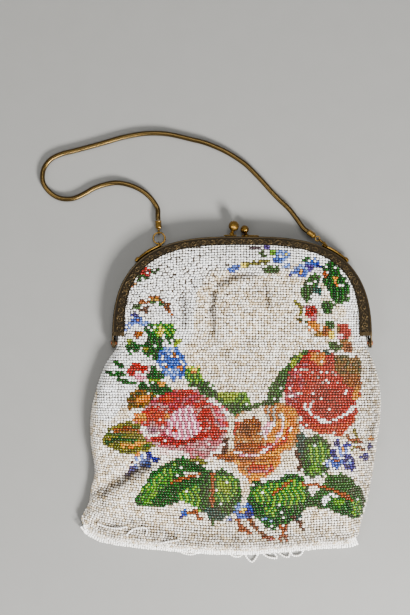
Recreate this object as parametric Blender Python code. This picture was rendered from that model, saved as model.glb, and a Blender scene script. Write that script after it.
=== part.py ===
"""A small beaded handbag with an arched brass frame, lying on its back.

+X is to the right, +Y runs from the bag's hem to its clasp, and +Z points up from the surface that
the bag lies on. The outline is drawn about the middle of the line between the frame's feet, and
the finished pieces are then moved so that the origin is at the middle of the whole, at its lowest.
Lengths are in metres.
"""
import math

import bmesh
import bpy
from mathutils import Matrix, Vector
from mathutils.geometry import delaunay_2d_cdt

# Clearance between two pieces that touch
GAP = 0.0003

# Frame: two arched halves of folded sheet with a raised ornament on their faces
FRAME_HALF_SPAN = 0.0845
FRAME_RISE = 0.0715
FRAME_ROUNDNESS_ACROSS = 3.0
FRAME_ROUNDNESS_UP = 2.8
FRAME_DEPTH = 0.0102
FRAME_SHEET = 0.0008
BAND_AT_TOP = 0.0057
BAND_AT_FOOT = 0.0082
BAND_END_RISE = 0.0068
ORNAMENT_RISE = 0.0005
ORNAMENT_PITCH = 0.0150
FRONT_STATION = 0.0030
BACK_STATION = 0.0045

# Hinges at the frame's feet
HINGE_RISE = 0.0023
TAB_RADIUS = 0.0033
TAB_SHEET = 0.0008
TAB_ARM = 0.0030
TAB_ROOT = 0.0022
SOLDER_LAP = 0.0001
RIVET_RADIUS = 0.0008
RIVET_HEAD_RADIUS = 0.0016
RIVET_HEAD_HEIGHT = 0.0006

# Kiss clasp: two balls on stems, each soldered to a foot that hugs the rim
FRONT_BALL_RADIUS = 0.0035
BACK_BALL_RADIUS = 0.0028
STEM_RADIUS = 0.0009
COLLAR_RADIUS = 0.0017
CLASP_FOOT_SHEET = 0.0009
CLASP_FOOT_WIDTH = 0.0032
FRONT_FOOT_ACROSS = (-0.0120, -0.0030)
BACK_FOOT_ACROSS = (-0.0005, 0.0117)
FRONT_STEM_ACROSS = -0.0068
BACK_STEM_ACROSS = 0.0028
FRONT_BALL_OFFSET = (-0.0053, 0.0069, 0.0018)
BACK_BALL_OFFSET = (0.0018, 0.0048, -0.0008)

# Chain lugs on the frame's shoulders, their jump rings and the chain's end caps
LUG_WIRE_RADIUS = 0.0006
LUG_BALL_RADIUS = 0.0014
LUG_INNER_ACROSS = 0.626 * FRAME_HALF_SPAN
LUG_OUTER_ACROSS = 0.795 * FRAME_HALF_SPAN
EYE_RADIUS = 0.0015
EYE_WIRE_RADIUS = 0.00045
RING_RADIUS = 0.0038
RING_WIRE_RADIUS = 0.00055
LEFT_RING_LEAN = math.radians(20.0)
RIGHT_RING_TURN = math.radians(28.0)
RIGHT_RING_HEADING = math.radians(143.0)
LEFT_CAP_HEADING = math.radians(93.0)
CAP_LENGTH = 0.0062
CAP_RADIUS = 0.0021
CAP_NECK_RADIUS = 0.0010

# Snake chain: its diameter and its route over the surface. Columns: across and above the frame's top
# as shares of FRAME_HALF_SPAN, the centre line's height as a share of CHAIN_DIAMETER; a height of 0
# stands for a chain that lies flat
CHAIN_DIAMETER = 0.0034
CHAIN_POINT_EVERY = 0.0080
CHAIN_ROUTE = [
    (-0.6296, 0.1657, 0.588), (-0.6651, 0.2450, 0), (-0.7254, 0.3207, 0), (-0.8059, 0.3763, 0),
    (-0.9065, 0.4118, 0), (-0.9870, 0.4189, 0), (-1.0769, 0.4012, 0), (-1.1574, 0.3716, 0),
    (-1.2379, 0.3266, 0), (-1.2982, 0.3006, 0), (-1.3586, 0.2935, 0), (-1.4296, 0.3065, 0),
    (-1.4888, 0.3467, 0), (-1.5349, 0.4059, 0), (-1.5444, 0.4864, 0), (-1.5195, 0.5574, 0),
    (-1.4592, 0.6178, 0), (-1.3787, 0.6473, 0), (-1.2580, 0.6781, 0), (-1.1065, 0.7183, 0),
    (-0.9562, 0.7633, 0), (-0.8059, 0.7941, 0), (-0.6852, 0.8036, 0), (-0.5538, 0.7941, 0),
    (-0.4036, 0.7586, 0), (-0.2852, 0.7290, 0), (-0.1314, 0.6651, 0), (0.0237, 0.5657, 0),
    (0.1550, 0.4343, 0), (0.2722, 0.3065, 0.559), (0.3787, 0.2000, 1.059),
]

# Bag: a knitted pouch sewn into the frame, open along the arch and flat where it lies
BAG_HALF_WIDTH = 0.0952
BAG_DROP = 0.1333
BAG_THICKNESS = 0.0125
BAG_WALL = 0.0016
BAG_EDGE_RADIUS = 0.0085
BAG_SEAM_HEIGHT = 0.0034
BAG_SEAM_FALL = 0.0250
HINGE_INSET = 0.0038
HINGE_INSET_FROM = 0.0105
HINGE_INSET_BLEND = 0.0060
CORNER_DROP = 0.0018
EDGE_ROW_SHARES = (0.16, 0.50, 1.0)
ROW_CLEARANCE = 0.0010
BAND_SHOULDER = 0.0070
CLOTH_POINT_EVERY = 0.0068
FRONT_GRID = 0.0076
BACK_GRID = 0.0150

# The bag's sides. Columns: how far down as a share of BAG_DROP, then how far out on the left and on
# the right as shares of BAG_HALF_WIDTH
SIDE_ROWS = [
    (0.034, 0.872, 0.860),
    (0.090, 0.932, 0.908),
    (0.213, 0.993, 0.944),
    (0.337, 1.030, 0.944),
    (0.485, 1.028, 0.918),
    (0.615, 0.998, 0.891),
    (0.700, 1.032, 0.870),
    (0.785, 1.042, 0.845),
    (0.832, 1.108, 0.823),
    (0.888, 1.068, 0.802),
]

# The bag's hem from left to right. Columns: across as a share of BAG_HALF_WIDTH, down as a share
# of BAG_DROP
HEM_ROWS = [
    (-0.985, 0.932),
    (-0.830, 0.956),
    (-0.665, 0.972),
    (-0.420, 0.987),
    (-0.210, 0.998),
    (0.055, 1.000),
    (0.250, 0.989),
    (0.440, 0.979),
    (0.600, 0.969),
    (0.725, 0.967),
    (0.786, 0.951),
]

# How full the bag is. Columns: how far down as a share of BAG_DROP, thickness as a share of
# BAG_THICKNESS
FULLNESS_ROWS = [
    (-0.54, 0.84),
    (-0.30, 0.94),
    (0.00, 1.00),
    (0.35, 1.00),
    (0.60, 0.92),
    (0.80, 0.80),
    (1.00, 0.62),
]

# Folds and dents of the front. Columns: name, the two ends as shares of BAG_HALF_WIDTH across and
# of BAG_DROP down, the radius as a share of BAG_HALF_WIDTH, the rise as a share of BAG_THICKNESS
FOLD_ROWS = [
    ("fold_valley", (-0.950, 0.725), (-0.640, 0.575), 0.055, -0.34),
    ("fold_lip", (-0.930, 0.805), (-0.620, 0.640), 0.060, 0.18),
    ("corner_hollow", (-1.000, 0.850), (-0.900, 0.860), 0.060, -0.14),
    ("left_dent", (-0.195, -0.245), (-0.195, -0.085), 0.085, -0.14),
    ("right_dent", (0.170, -0.250), (0.180, -0.200), 0.085, -0.12),
    ("outer_left_dent", (-0.390, -0.185), (-0.400, -0.130), 0.080, -0.10),
    ("middle_dent", (0.020, -0.010), (0.090, -0.020), 0.085, -0.10),
    ("lower_ripple", (-0.450, 0.830), (-0.150, 0.900), 0.070, -0.10),
    ("right_ripple", (0.600, 0.400), (0.700, 0.620), 0.080, 0.06),
]

# Fringe of short bead loops along the hem. Columns: the loop's middle, half its width and its drop
# below the edging, each as a share of BAG_HALF_WIDTH
EDGING_WIDTH = 0.0030
FRINGE_THICKNESS = 0.0024
FRINGE_STATION = 0.0020
LOOP_ROWS = [
    (-0.905, 0.040, 0.010),
    (-0.700, 0.050, 0.012),
    (-0.500, 0.045, 0.008),
    (-0.270, 0.045, 0.010),
    (-0.032, 0.043, 0.019),
    (0.068, 0.051, 0.055),
    (0.194, 0.049, 0.040),
    (0.290, 0.044, 0.037),
    (0.376, 0.046, 0.041),
    (0.560, 0.050, 0.008),
]

PARTING_HEIGHT = ORNAMENT_RISE + FRAME_DEPTH / 2
BACK_FACE = ORNAMENT_RISE
FRONT_FACE = ORNAMENT_RISE + FRAME_DEPTH
LUG_HEIGHT = (BACK_FACE + PARTING_HEIGHT) / 2
SIDES = {"left": -1, "right": 1}


def clear_scene():
    for existing in list(bpy.data.objects):
        bpy.data.objects.remove(existing, do_unlink=True)


def make_material(name, colour, roughness, metallic):
    material = bpy.data.materials.new(name)
    material.use_nodes = True
    shader = material.node_tree.nodes["Principled BSDF"]
    shader.inputs["Base Color"].default_value = (*colour, 1.0)
    shader.inputs["Roughness"].default_value = roughness
    shader.inputs["Metallic"].default_value = metallic
    return material


def finish_object(name, mesh_edit, material, sharp_angle=35.0):
    """Turn an edited mesh into a named object that is shaded smooth between its sharp edges."""
    mesh = bpy.data.meshes.new(name)
    mesh_edit.normal_update()
    mesh_edit.to_mesh(mesh)
    mesh_edit.free()
    mesh.materials.append(material)
    mesh.shade_smooth()
    mesh.set_sharp_from_angle(angle=math.radians(sharp_angle))
    finished = bpy.data.objects.new(name, mesh)
    bpy.context.collection.objects.link(finished)
    return finished


def combine(target, tool_edit, operation, label):
    """Union a closed shape with the target, or cut it out of the target."""
    mesh = bpy.data.meshes.new(label)
    tool_edit.normal_update()
    tool_edit.to_mesh(mesh)
    tool_edit.free()
    tool = bpy.data.objects.new(label, mesh)
    bpy.context.collection.objects.link(tool)
    tool.hide_render = True
    tool.display_type = 'WIRE'
    modifier = target.modifiers.new(label, 'BOOLEAN')
    modifier.operation = operation
    modifier.solver = 'EXACT'
    modifier.object = tool
    return tool


def smoothstep(value):
    value = min(max(value, 0.0), 1.0)
    return value * value * (3.0 - 2.0 * value)


def interpolate(rows, position):
    """Read a smooth value from rows of (position, value)."""
    if position <= rows[0][0]:
        return rows[0][1]
    for (start, low), (end, high) in zip(rows, rows[1:]):
        if position <= end:
            return low + (high - low) * smoothstep((position - start) / (end - start))
    return rows[-1][1]


def smooth_curve(points, steps=12):
    """A Catmull-Rom curve through the points, as a dense list."""
    dense = []
    last = len(points) - 1
    for index in range(last):
        before = points[max(index - 1, 0)]
        start = points[index]
        end = points[index + 1]
        after = points[min(index + 2, last)]
        for step in range(steps):
            t = step / steps
            dense.append(0.5 * (2.0 * start + (end - before) * t
                                + (2.0 * before - 5.0 * start + 4.0 * end - after) * t ** 2
                                + (3.0 * start - before - 3.0 * end + after) * t ** 3))
    dense.append(points[-1].copy())
    return dense


def resample(points, spacing):
    """Evenly spaced points along a dense line, with both of its ends."""
    reach = [0.0]
    for start, end in zip(points, points[1:]):
        reach.append(reach[-1] + (end - start).length)
    count = max(2, round(reach[-1] / spacing))
    even = []
    index = 0
    for step in range(count + 1):
        wanted = reach[-1] * step / count
        while index < len(points) - 2 and reach[index + 1] < wanted:
            index += 1
        span = reach[index + 1] - reach[index]
        share = (wanted - reach[index]) / span if span > 0 else 0.0
        even.append(points[index].lerp(points[index + 1], min(max(share, 0.0), 1.0)))
    return even


def normals_right_of(points):
    """Unit normals that point to the right of the direction of travel."""
    normals = []
    for index in range(len(points)):
        ahead = points[min(index + 1, len(points) - 1)]
        behind = points[max(index - 1, 0)]
        travel = (ahead - behind).normalized()
        normals.append(Vector((travel.y, -travel.x)))
    return normals


def distance_to_line(point, line):
    nearest = math.inf
    for start, end in zip(line, line[1:]):
        along = end - start
        share = min(max((point - start).dot(along) / along.length_squared, 0.0), 1.0)
        nearest = min(nearest, (point - start - along * share).length)
    return nearest


def is_inside(point, polygon):
    inside = False
    previous = polygon[-1]
    for current in polygon:
        if (current.y > point.y) != (previous.y > point.y):
            share = (point.y - current.y) / (previous.y - current.y)
            crossing = current.x + share * (previous.x - current.x)
            if point.x < crossing:
                inside = not inside
        previous = current
    return inside


def loft(rings):
    """Join rings of equal length by quads and close both ends."""
    shape = bmesh.new()
    rows = []
    for ring in rings:
        rows.append([shape.verts.new(point) for point in ring])
    size = len(rows[0])
    for row, following in zip(rows, rows[1:]):
        for index in range(size):
            after = (index + 1) % size
            shape.faces.new((row[index], row[after], following[after], following[index]))
    shape.faces.new(list(reversed(rows[0])))
    shape.faces.new(rows[-1])
    bmesh.ops.recalc_face_normals(shape, faces=shape.faces)
    return shape


def turned(profile, sides, place=None):
    """Turn a profile of (height, radius) about +Z; a radius of 0 closes an end to a point."""
    shape = bmesh.new()
    rows = []
    for height, radius in profile:
        if radius == 0:
            rows.append([shape.verts.new((0.0, 0.0, height))])
            continue
        row = []
        for side in range(sides):
            angle = 2 * math.pi * side / sides
            row.append(shape.verts.new((radius * math.cos(angle), radius * math.sin(angle), height)))
        rows.append(row)
    for low, high in zip(rows, rows[1:]):
        for side in range(sides):
            after = (side + 1) % sides
            corners = [low[side % len(low)], low[after % len(low)],
                       high[after % len(high)], high[side % len(high)]]
            shape.faces.new(list(dict.fromkeys(corners)))
    if len(rows[0]) > 1:
        shape.faces.new(list(reversed(rows[0])))
    if len(rows[-1]) > 1:
        shape.faces.new(rows[-1])
    bmesh.ops.recalc_face_normals(shape, faces=shape.faces)
    if place is not None:
        shape.transform(place)
    return shape


def ball_profile(centre, radius, from_angle, steps):
    """Profile rows of a ball from an angle above its lowest point to its top."""
    rows = []
    for step in range(steps + 1):
        angle = from_angle + (math.pi - from_angle) * step / steps
        across = radius * math.sin(angle)
        rows.append((centre - radius * math.cos(angle), 0.0 if step == steps else across))
    return rows


def ring_shape(radius, wire_radius, segments, sides, place):
    """A closed ring about +Z of the placing matrix."""
    shape = bmesh.new()
    rows = []
    for segment in range(segments):
        turn = 2 * math.pi * segment / segments
        row = []
        for side in range(sides):
            angle = 2 * math.pi * side / sides
            reach = radius + wire_radius * math.cos(angle)
            row.append(shape.verts.new((reach * math.cos(turn), reach * math.sin(turn),
                                        wire_radius * math.sin(angle))))
        rows.append(row)
    for segment in range(segments):
        row = rows[segment]
        following = rows[(segment + 1) % segments]
        for side in range(sides):
            after = (side + 1) % sides
            shape.faces.new((row[side], following[side], following[after], row[after]))
    bmesh.ops.recalc_face_normals(shape, faces=shape.faces)
    shape.transform(place)
    return shape


def box_shape(low, high):
    shape = bmesh.new()
    middle = [(a + b) / 2 for a, b in zip(low, high)]
    size = [b - a for a, b in zip(low, high)]
    place = Matrix.Translation(middle) @ Matrix.Diagonal((*size, 1.0))
    bmesh.ops.create_cube(shape, size=1.0, matrix=place)
    return shape


def axes_matrix(origin, z_axis, x_hint):
    """A placing matrix whose +Z follows z_axis and whose +X stays near x_hint."""
    z_axis = Vector(z_axis).normalized()
    y_axis = z_axis.cross(Vector(x_hint)).normalized()
    x_axis = y_axis.cross(z_axis)
    turn = Matrix((x_axis, y_axis, z_axis)).transposed().to_4x4()
    return Matrix.Translation(origin) @ turn


def arch_point(angle):
    """A point of the frame's outer edge; the angle runs from 0 at the right foot to pi at the left."""
    across = FRAME_HALF_SPAN * abs(math.cos(angle)) ** (2.0 / FRAME_ROUNDNESS_ACROSS)
    up = FRAME_RISE * abs(math.sin(angle)) ** (2.0 / FRAME_ROUNDNESS_UP)
    return Vector((math.copysign(across, math.cos(angle)), up))


def arch_line(steps=720):
    """The frame's outer edge from the left foot over the top to the right foot."""
    return [arch_point(math.pi * (1.0 - step / steps)) for step in range(steps + 1)]


def arch_height(across):
    fall = (abs(across) / FRAME_HALF_SPAN) ** FRAME_ROUNDNESS_ACROSS
    return FRAME_RISE * (1.0 - fall) ** (1.0 / FRAME_ROUNDNESS_UP)


def band_width(up):
    """The face's width, which grows from the top of the arch down to its feet."""
    return BAND_AT_TOP + (BAND_AT_FOOT - BAND_AT_TOP) * smoothstep(1.0 - up / FRAME_RISE)


def arch_stretch(from_across, to_across, spacing):
    """Points and outward normals along the rim between two places on its upper side."""
    low, high = sorted((from_across, to_across))
    dense = [point for point in arch_line() if low <= point.x <= high and point.y > FRAME_RISE / 3]
    points = resample(dense, spacing)
    return [(point, -normal) for point, normal in zip(points, normals_right_of(points))]


def ornament_height(reach, share):
    """Raised scrolling leaves on the face: reach along the arch, share across the band."""
    turn = 2 * math.pi * reach / ORNAMENT_PITCH
    middle = 0.56 + 0.20 * math.sin(turn)
    stem = math.exp(-((share - middle) / 0.16) ** 2)
    leaf = 0.5 + 0.5 * math.cos(3.0 * turn + 4.0 * (share - middle))
    edge = smoothstep(share / 0.08) * smoothstep((1.0 - share) / 0.08)
    rim = math.exp(-((share - 0.13) / 0.06) ** 2)
    return ORNAMENT_RISE * edge * max(rim, stem, 0.75 * leaf * smoothstep((share - 0.22) / 0.1))


def make_frame_half(name, face, facing, station, columns, material):
    """One half of the frame: a face plate with the ornament and a rim that meets the other half."""
    line = [point for point in arch_line() if point.y >= BAND_END_RISE]
    points = resample(line, station)
    inward = normals_right_of(points)
    parting = PARTING_HEIGHT + facing * GAP / 2
    inner_face = face - facing * FRAME_SHEET
    rings = []
    for index, (point, normal) in enumerate(zip(points, inward)):
        width = band_width(point.y)
        reach = index * station
        ring = [(FRAME_SHEET, inner_face), (FRAME_SHEET, parting), (0.0, parting)]
        ring += [(share * width, face + facing * ornament_height(reach, share)) for share in columns]
        ring.append((width, inner_face))
        rings.append([Vector((*(point + normal * depth), height)) for depth, height in ring])
    return finish_object(name, loft(rings), material)


def tab_planes(layer):
    """The near and far side of a hinge tab, measured out from the middle, for layer 0 or 1."""
    outer = FRAME_HALF_SPAN + SOLDER_LAP
    inner = outer - FRAME_SHEET - 2 * SOLDER_LAP
    if layer == 0:
        return inner, outer
    return inner - GAP - TAB_SHEET, inner - GAP


def make_hinge_tabs(half, facing, layer):
    """Give a frame half its two pierced tabs: layer 0 lies in the rim, layer 1 just inside it."""
    near, far = tab_planes(layer)
    arm_low = PARTING_HEIGHT + facing * (GAP + SOLDER_LAP)
    arm_high = arm_low + facing * TAB_ARM
    floor, ceiling = sorted((arm_low, arm_high))
    for side_name, side in SIDES.items():
        middle = Vector((side * (near + far) / 2, HINGE_RISE, PARTING_HEIGHT))
        place = axes_matrix(middle, (1, 0, 0), (0, 1, 0))
        half_sheet = (far - near) / 2
        disc = [(-half_sheet, TAB_RADIUS), (half_sheet, TAB_RADIUS)]
        arm_sides = sorted((side * (near + SOLDER_LAP / 2), side * (far - SOLDER_LAP / 2)))
        arm_end = BAND_END_RISE + TAB_ROOT
        combine(half, box_shape((arm_sides[0], HINGE_RISE, floor), (arm_sides[1], arm_end, ceiling)),
                'UNION', f"{half.name}_arm_{side_name}")
        if layer == 1:
            root_sides = sorted((side * (near + SOLDER_LAP), side * (FRAME_HALF_SPAN - FRAME_SHEET / 2)))
            combine(half, box_shape((root_sides[0], BAND_END_RISE + GAP, floor + SOLDER_LAP),
                                    (root_sides[1], arm_end - SOLDER_LAP, ceiling - SOLDER_LAP)),
                    'UNION', f"{half.name}_root_{side_name}")
        combine(half, turned(disc, 16, place), 'UNION', f"{half.name}_disc_{side_name}")
        hole = [(-4 * half_sheet, RIVET_RADIUS + GAP), (4 * half_sheet, RIVET_RADIUS + GAP)]
        combine(half, turned(hole, 10, place), 'DIFFERENCE', f"{half.name}_hole_{side_name}")


def make_rivet(name, side, material):
    inner = tab_planes(1)[0] - GAP
    outer = tab_planes(0)[1] + GAP
    profile = [
        (inner - RIVET_HEAD_HEIGHT, RIVET_HEAD_RADIUS * 0.55),
        (inner - RIVET_HEAD_HEIGHT * 0.5, RIVET_HEAD_RADIUS),
        (inner, RIVET_HEAD_RADIUS),
        (inner, RIVET_RADIUS),
        (outer, RIVET_RADIUS),
        (outer, RIVET_HEAD_RADIUS),
        (outer + RIVET_HEAD_HEIGHT * 0.5, RIVET_HEAD_RADIUS),
        (outer + RIVET_HEAD_HEIGHT, RIVET_HEAD_RADIUS * 0.55),
    ]
    place = axes_matrix((0.0, HINGE_RISE, PARTING_HEIGHT), (side, 0, 0), (0, 1, 0))
    return finish_object(name, turned(profile, 10, place), material)


def make_knob(name, ball_radius, ball_offset, foot_across, stem_across, rim_middle, material):
    """A clasp ball on its stem and collar, with a foot that hugs the rim."""
    foot = arch_stretch(*foot_across, 0.0015)
    rings = []
    for index, (point, outward) in enumerate(foot):
        taper = 0.35 + 0.65 * math.sin(math.pi * index / (len(foot) - 1)) ** 0.5
        half_width = CLASP_FOOT_WIDTH / 2 * taper
        near = point + outward * GAP
        far = point + outward * (GAP + CLASP_FOOT_SHEET)
        rings.append([
            Vector((*near, rim_middle - half_width)),
            Vector((*far, rim_middle - half_width * 0.6)),
            Vector((*far, rim_middle + half_width * 0.6)),
            Vector((*near, rim_middle + half_width)),
        ])
    knob = finish_object(name, loft(rings), material)

    ball_centre = Vector((ball_offset[0], FRAME_RISE + ball_offset[1], PARTING_HEIGHT + ball_offset[2]))
    base = Vector((stem_across, arch_height(stem_across) + GAP + CLASP_FOOT_SHEET / 2, rim_middle))
    stem = ball_centre - base
    collar = stem.length - ball_radius - STEM_RADIUS * 0.6
    profile = [(0.0, COLLAR_RADIUS * 0.9)]
    profile += [(collar * 0.35, COLLAR_RADIUS), (collar * 0.75, COLLAR_RADIUS * 0.75)]
    profile += [(collar, STEM_RADIUS)]
    profile += ball_profile(stem.length, ball_radius, math.asin(STEM_RADIUS * 1.1 / ball_radius), 8)
    combine(knob, turned(profile, 14, axes_matrix(base, stem, (0, 0, 1))), 'UNION', f"{name}_turning")
    return knob


def lug_eye(side):
    """The eye's middle and the direction in which the rim passes it."""
    across = side * LUG_INNER_ACROSS
    step = FRAME_HALF_SPAN / 1000
    travel = Vector((2 * step, arch_height(across + step) - arch_height(across - step))).normalized()
    outward = Vector((-travel.y, travel.x))
    stand_off = GAP + LUG_WIRE_RADIUS + EYE_RADIUS
    middle = Vector((across, arch_height(across))) + outward * stand_off
    return Vector((*middle, LUG_HEIGHT)), Vector((*travel, 0.0))


def make_lug(name, side, material):
    """A wire that hugs the frame's shoulder, with a ball at its low end and an eye at its high end."""
    stretch = arch_stretch(side * LUG_OUTER_ACROSS, side * LUG_INNER_ACROSS, 0.0020)
    rings = []
    for point, outward in stretch:
        middle = point + outward * (GAP + LUG_WIRE_RADIUS)
        ring = []
        for corner in range(6):
            angle = 2 * math.pi * (corner + 0.5) / 6
            flat = middle + outward * LUG_WIRE_RADIUS * math.cos(angle)
            ring.append(Vector((*flat, LUG_HEIGHT + 1.8 * LUG_WIRE_RADIUS * math.sin(angle))))
        rings.append(ring)
    lug = finish_object(name, loft(rings), material)

    eye, travel = lug_eye(side)
    combine(lug, ring_shape(EYE_RADIUS, EYE_WIRE_RADIUS, 14, 6, axes_matrix(eye, travel, (0, 0, 1))),
            'UNION', f"{name}_eye")
    foot, outward = stretch[0] if side < 0 else stretch[-1]
    centre = Vector((*(foot + outward * (GAP + LUG_BALL_RADIUS)), LUG_HEIGHT))
    profile = [(-LUG_BALL_RADIUS, 0.0)] + ball_profile(0.0, LUG_BALL_RADIUS, math.pi / 6, 5)
    combine(lug, turned(profile, 10, Matrix.Translation(centre)), 'UNION', f"{name}_ball")
    return lug


def ring_frames():
    """For each side, the ring's middle, its axis and the place where the cap's loop hangs on it."""
    eye, travel = lug_eye(-1)
    across = Vector((-travel.y, travel.x, 0.0))
    lean = Matrix.Rotation(-LEFT_RING_LEAN, 3, 'Z') @ across
    left_middle = eye + lean * RING_RADIUS
    left = (left_middle, Vector((0, 0, 1)), left_middle + lean * RING_RADIUS)

    eye, travel = lug_eye(1)
    heading = Vector((math.cos(RIGHT_RING_HEADING), math.sin(RIGHT_RING_HEADING), 0.0))
    up = Vector((0, 0, 1))
    rise = up * math.cos(RIGHT_RING_TURN) + heading * math.sin(RIGHT_RING_TURN)
    right_middle = eye + rise * RING_RADIUS
    right = (right_middle, heading.cross(up), right_middle + heading * RING_RADIUS)
    return {"left": left, "right": right}


def make_ring(name, middle, axis, material):
    shape = ring_shape(RING_RADIUS, RING_WIRE_RADIUS, 20, 6, axes_matrix(middle, axis, (1, 0.2, 0.1)))
    return finish_object(name, shape, material)


def cap_frames():
    """For each side, where the cap's loop hangs, the cap's direction and its loop's axis."""
    rings = ring_frames()
    left_loop = rings["left"][2]
    left_way = Vector((math.cos(LEFT_CAP_HEADING), math.sin(LEFT_CAP_HEADING), 0.0))
    right_loop = rings["right"][2]
    right_way = Vector((math.cos(RIGHT_RING_HEADING), math.sin(RIGHT_RING_HEADING), -0.12)).normalized()
    return {
        "left": (left_loop, left_way, left_way.cross(Vector((0, 0, 1)))),
        "right": (right_loop, right_way, Vector((0, 0, 1))),
    }


def cap_end(frame):
    """Where the chain leaves the cap."""
    loop, way, _ = frame
    return loop + way * (EYE_RADIUS + CAP_LENGTH + GAP)


def make_cap(name, frame, material):
    """The turned cap on the chain's end, with a loop for the jump ring."""
    loop, way, loop_axis = frame
    start = EYE_RADIUS
    profile = [
        (start - EYE_WIRE_RADIUS * 0.5, CAP_NECK_RADIUS * 0.8),
        (start + CAP_LENGTH * 0.12, CAP_NECK_RADIUS),
        (start + CAP_LENGTH * 0.22, CAP_RADIUS * 0.85),
        (start + CAP_LENGTH * 0.30, CAP_RADIUS),
        (start + CAP_LENGTH * 0.42, CAP_RADIUS * 0.94),
        (start + CAP_LENGTH * 0.86, CAP_RADIUS * 0.94),
        (start + CAP_LENGTH * 0.92, CAP_RADIUS),
        (start + CAP_LENGTH, CAP_RADIUS * 0.96),
    ]
    cap = finish_object(name, turned(profile, 12, axes_matrix(loop, way, (0.1, 0.2, 1))), material)
    combine(cap, ring_shape(EYE_RADIUS, EYE_WIRE_RADIUS, 14, 6, axes_matrix(loop, loop_axis, way)),
            'UNION', f"{name}_loop")
    return cap


def make_chain(name, caps, material):
    """The snake chain as a smooth round tube that leaves each cap straight."""
    resting = CHAIN_DIAMETER / 2
    ends = {side: cap_end(caps[side]) for side in SIDES}
    leads = {side: ends[side] + caps[side][1] * CHAIN_DIAMETER for side in SIDES}
    route = [leads["left"]]
    for across, up, height in CHAIN_ROUTE:
        route.append(Vector((across * FRAME_HALF_SPAN, FRAME_RISE + up * FRAME_HALF_SPAN,
                             max(height * CHAIN_DIAMETER, resting))))
    route.append(leads["right"])
    points = [ends["left"]] + resample(smooth_curve(route), CHAIN_POINT_EVERY) + [ends["right"]]
    for point in points:
        point.z = max(point.z, resting)
    curve = bpy.data.curves.new(name, 'CURVE')
    curve.dimensions = '3D'
    curve.bevel_depth = CHAIN_DIAMETER / 2
    curve.bevel_resolution = 2
    curve.use_fill_caps = True
    spline = curve.splines.new('POLY')
    spline.points.add(len(points) - 1)
    for spline_point, point in zip(spline.points, points):
        spline_point.co = (*point, 1.0)
    curve.materials.append(material)
    chain = bpy.data.objects.new(name, curve)
    bpy.context.collection.objects.link(chain)
    return chain


def mouth_line():
    """The bag's open edge inside the frame's rim, from the left foot to the right foot."""
    dense = arch_line()
    inward = normals_right_of(dense)
    line = []
    for point, normal in zip(dense, inward):
        clear_of_hinge = smoothstep((HINGE_INSET_FROM + HINGE_INSET_BLEND - point.y) / HINGE_INSET_BLEND)
        inset = FRAME_SHEET + GAP + (HINGE_INSET - FRAME_SHEET - GAP) * clear_of_hinge
        line.append(point + normal * inset)
    left = Vector((line[0].x, -CORNER_DROP))
    right = Vector((line[-1].x, -CORNER_DROP))
    return [left] + line + [right]


def closed_line(mouth):
    """The bag's sides and hem, from the mouth's left end down, along the hem and up to its right end."""
    points = [mouth[0]]
    for down, left, _ in SIDE_ROWS:
        points.append(Vector((-left * BAG_HALF_WIDTH, -down * BAG_DROP)))
    for across, down in HEM_ROWS:
        points.append(Vector((across * BAG_HALF_WIDTH, -down * BAG_DROP)))
    for down, _, right in reversed(SIDE_ROWS):
        points.append(Vector((right * BAG_HALF_WIDTH, -down * BAG_DROP)))
    points.append(mouth[-1])
    return smooth_curve(points)


def band_lines(spacing):
    """Lines just inside the band's inner edge, where the cloth comes out from under the frame."""
    dense = [point for point in arch_line() if point.y >= BAND_END_RISE]
    points = resample(dense, spacing)
    inward = normals_right_of(points)
    lines = []
    for beyond in (GAP * 2, BAND_SHOULDER * 0.45, BAND_SHOULDER):
        lines.append([point + normal * (band_width(point.y) + beyond)
                      for point, normal in zip(points, inward)])
    return lines


def fold_points(spacing):
    """Points along the folds and dents, so that the cloth's mesh follows them."""
    points = []
    for _, start, end, _, _ in FOLD_ROWS:
        low = Vector((start[0] * BAG_HALF_WIDTH, -start[1] * BAG_DROP))
        high = Vector((end[0] * BAG_HALF_WIDTH, -end[1] * BAG_DROP))
        count = max(1, round((high - low).length / spacing))
        points += [low.lerp(high, step / count) for step in range(count + 1)]
    return points


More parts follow.
